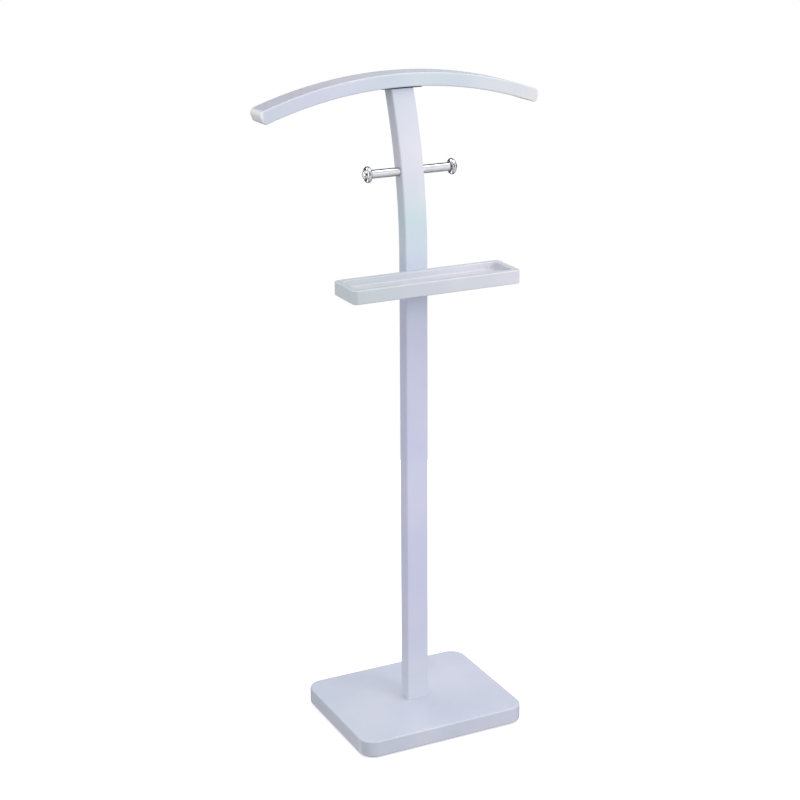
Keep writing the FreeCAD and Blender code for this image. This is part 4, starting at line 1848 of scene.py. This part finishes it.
@dataclass(frozen=True)
class Studio:
    """A plain pale floor, soft light and the camera."""

    swing: float = 26.2251  # degrees from +Y towards +X that the camera looks
    dip: float = 18.309  # degrees below level
    roll: float = -0.3475  # degrees
    stand: Vector = Vector((-1.30577, -2.60146, 1.54815))
    lens: float = 81.73  # millimetres
    sensor: float = 36.0
    floor_radius: float = 1.3
    floor_tone: Tone = Tone(252, 252, 253)
    floor_roughness: float = 0.9
    floor_lift: float = 0.35  # glow of the floor, which keeps it white to its rim
    lamps: tuple[Lamp, ...] = (
        Lamp("key", Vector((1.2, -2.3, 1.7)), 29.0),
        Lamp("fill", Vector((0.9, 2.5, 0.45)), 15.0),
    )
    # brightness of the room on paint, from straight below to straight above
    room: tuple[Point, ...] = ((-1.0, 0.6), (0.0, 0.45), (1.0, 1.34))
    plating_shows: tuple[tuple[Vector, tuple[Point, ...]], ...] = (
        # a dark backdrop with a window in it, and a bright strip above it
        (
            Vector((0.44, 0.90, 0.0)),
            (
                (-1.0, 1.0),
                (-0.6, 1.3),
                (0.1, 1.15),
                (0.22, 2.8),
                (0.46, 2.8),
                (0.56, 0.05),
                (0.96, 0.05),
                (0.98, 0.6),
            ),
        ),
        # a floor that darkens straight below, and a lamp above with a grey gap round it
        (
            Z_AXIS,
            (
                (-1.0, 0.1),
                (-0.885, 0.12),
                (-0.83, 0.72),
                (-0.3, 0.8),
                (0.0, 1.0),
                (0.62, 1.05),
                (0.77, 0.72),
                (0.82, 0.72),
                (0.86, 2.2),
            ),
        ),
        # a wall to the left and to the right, each past a dark gap
        (X_AXIS, ((-0.91, 1.5), (-0.87, 0.12), (-0.8, 0.12), (-0.74, 1.0), (0.74, 1.0))),
        (X_AXIS, ((0.74, 1.0), (0.8, 0.12), (0.87, 0.12), (0.91, 0.45))),
        # a dark doorway
        (Vector((-0.42, -0.85, 0.31)), ((0.86, 1.0), (0.92, 0.03))),
    )  # brightness at each cosine from each direction, all multiplied

    def camera(self) -> None:
        """Sets the camera up."""
        swing, dip, roll = (math.radians(angle) for angle in (self.swing, self.dip, self.roll))
        ahead = Vector(
            (math.sin(swing) * math.cos(dip), math.cos(swing) * math.cos(dip), -math.sin(dip))
        )
        level = Vector((math.cos(swing), -math.sin(swing), 0))
        upright = level.cross(ahead)
        right = level * math.cos(roll) + upright * math.sin(roll)
        up = upright * math.cos(roll) - level * math.sin(roll)
        data = bpy.data.cameras.new("camera")
        data.lens, data.sensor_width = self.lens, self.sensor
        camera = bpy.data.objects.new("camera", data)
        axes = Matrix((right, up, -ahead)).transposed().to_4x4()
        camera.matrix_world = Matrix.Translation(self.stand) @ axes
        bpy.context.scene.collection.objects.link(camera)
        bpy.context.scene.camera = camera

    def floor(self) -> None:
        """Lays the floor."""
        shell = bmesh.new()
        size = {"radius": self.floor_radius, "segments": ROUND_STEPS}
        bmesh.ops.create_circle(shell, cap_ends=True, **size)
        mesh = bpy.data.meshes.new("studio_floor")
        shell.to_mesh(mesh)
        shell.free()
        floor = shown("studio_floor", mesh)
        shader = Shader("studio_floor")
        tone = self.floor_tone.linear()
        shader.set({"Base Color": tone, "Roughness": self.floor_roughness})
        shader.set({"Specular IOR Level": 0.0})
        shader.set({"Emission Color": tone, "Emission Strength": self.floor_lift})
        dressed(floor, shader.material)
        floor.visible_diffuse = False
        floor.visible_glossy = False
        floor.visible_shadow = False

    def surroundings(self) -> None:
        """Lights the room: even on paint, white to the eye, and with a dark backdrop in plating."""
        world = bpy.data.worlds.new("studio")
        world.use_nodes = True
        nodes, links = world.node_tree.nodes, world.node_tree.links
        direction = nodes.new("ShaderNodeTexCoord").outputs["Generated"]

        def graded(towards: Vector, stops: Sequence[Point]) -> Socket:
            """Brightness that varies with direction.

            Args:
                towards: the direction that it is measured against.
                stops: brightness at each cosine from that direction.

            Returns:
                The brightness, as a grey.
            """
            facing = nodes.new("ShaderNodeVectorMath")
            facing.operation = "DOT_PRODUCT"
            facing.inputs[1].default_value = towards.normalized()
            links.new(direction, facing.inputs[0])
            share = nodes.new("ShaderNodeMapRange")
            share.inputs["From Min"].default_value = -1.0
            links.new(facing.outputs["Value"], share.inputs["Value"])
            ramp = nodes.new("ShaderNodeValToRGB")
            links.new(share.outputs["Result"], ramp.inputs["Fac"])
            greys = [((place + 1) / 2, (value, value, value, 1.0)) for place, value in stops]
            return ramped(ramp, greys)

        def lit(shade: Socket | None = None) -> Socket:
            """Makes light.

            Args:
                shade: its colour, if it isn't plain white.

            Returns:
                The light.
            """
            background = nodes.new("ShaderNodeBackground")
            background.inputs["Color"].default_value = (1.0, 1.0, 1.0, 1.0)
            if shade is not None:
                links.new(shade, background.inputs["Color"])
            return background.outputs["Background"]

        mirrored: Socket | None = None
        for towards, stops in self.plating_shows:
            shade = graded(towards, stops)
            if mirrored is not None:
                product = nodes.new("ShaderNodeVectorMath")
                product.operation = "MULTIPLY"
                links.new(mirrored, product.inputs[0])
                links.new(shade, product.inputs[1])
                shade = product.outputs["Vector"]
            mirrored = shade
        ray = nodes.new("ShaderNodeLightPath")
        shine, seen = nodes.new("ShaderNodeMixShader"), nodes.new("ShaderNodeMixShader")
        links.new(ray.outputs["Is Glossy Ray"], shine.inputs[0])
        links.new(lit(graded(Z_AXIS, self.room)), shine.inputs[1])
        links.new(lit(mirrored), shine.inputs[2])
        links.new(ray.outputs["Is Camera Ray"], seen.inputs[0])
        links.new(shine.outputs["Shader"], seen.inputs[1])
        links.new(lit(), seen.inputs[2])
        links.new(seen.outputs["Shader"], nodes["World Output"].inputs["Surface"])
        bpy.context.scene.world = world

    def build(self) -> None:
        """Sets up the camera, floor and lights."""
        bpy.context.scene.view_settings.view_transform = "Standard"
        self.camera()
        self.floor()
        self.surroundings()
        for lamp in self.lamps:
            lamp.hung()


# ------------------------------------------------------------------ the stand
def corners(bounds: tuple[Vector, Vector]) -> list[list[float]]:
    """The two corners of a box as plain lists."""
    return [list(corner) for corner in bounds]


def main() -> None:
    """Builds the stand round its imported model."""
    logging.basicConfig(level=logging.INFO, format="%(name)s: %(message)s")
    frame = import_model()
    Studio().build()
    shop = Workshop(frame, Finishes(), copies(), {pattern: relieved(pattern) for pattern in Relief})
    screws = Screws(shop)
    Base(shop).build()
    Post(shop).build(screws)
    Tray(shop).build(screws)
    Hanger(shop).build(screws)
    screws.build()
    Pegs(shop).build()


if __name__ == "__main__":
    main()
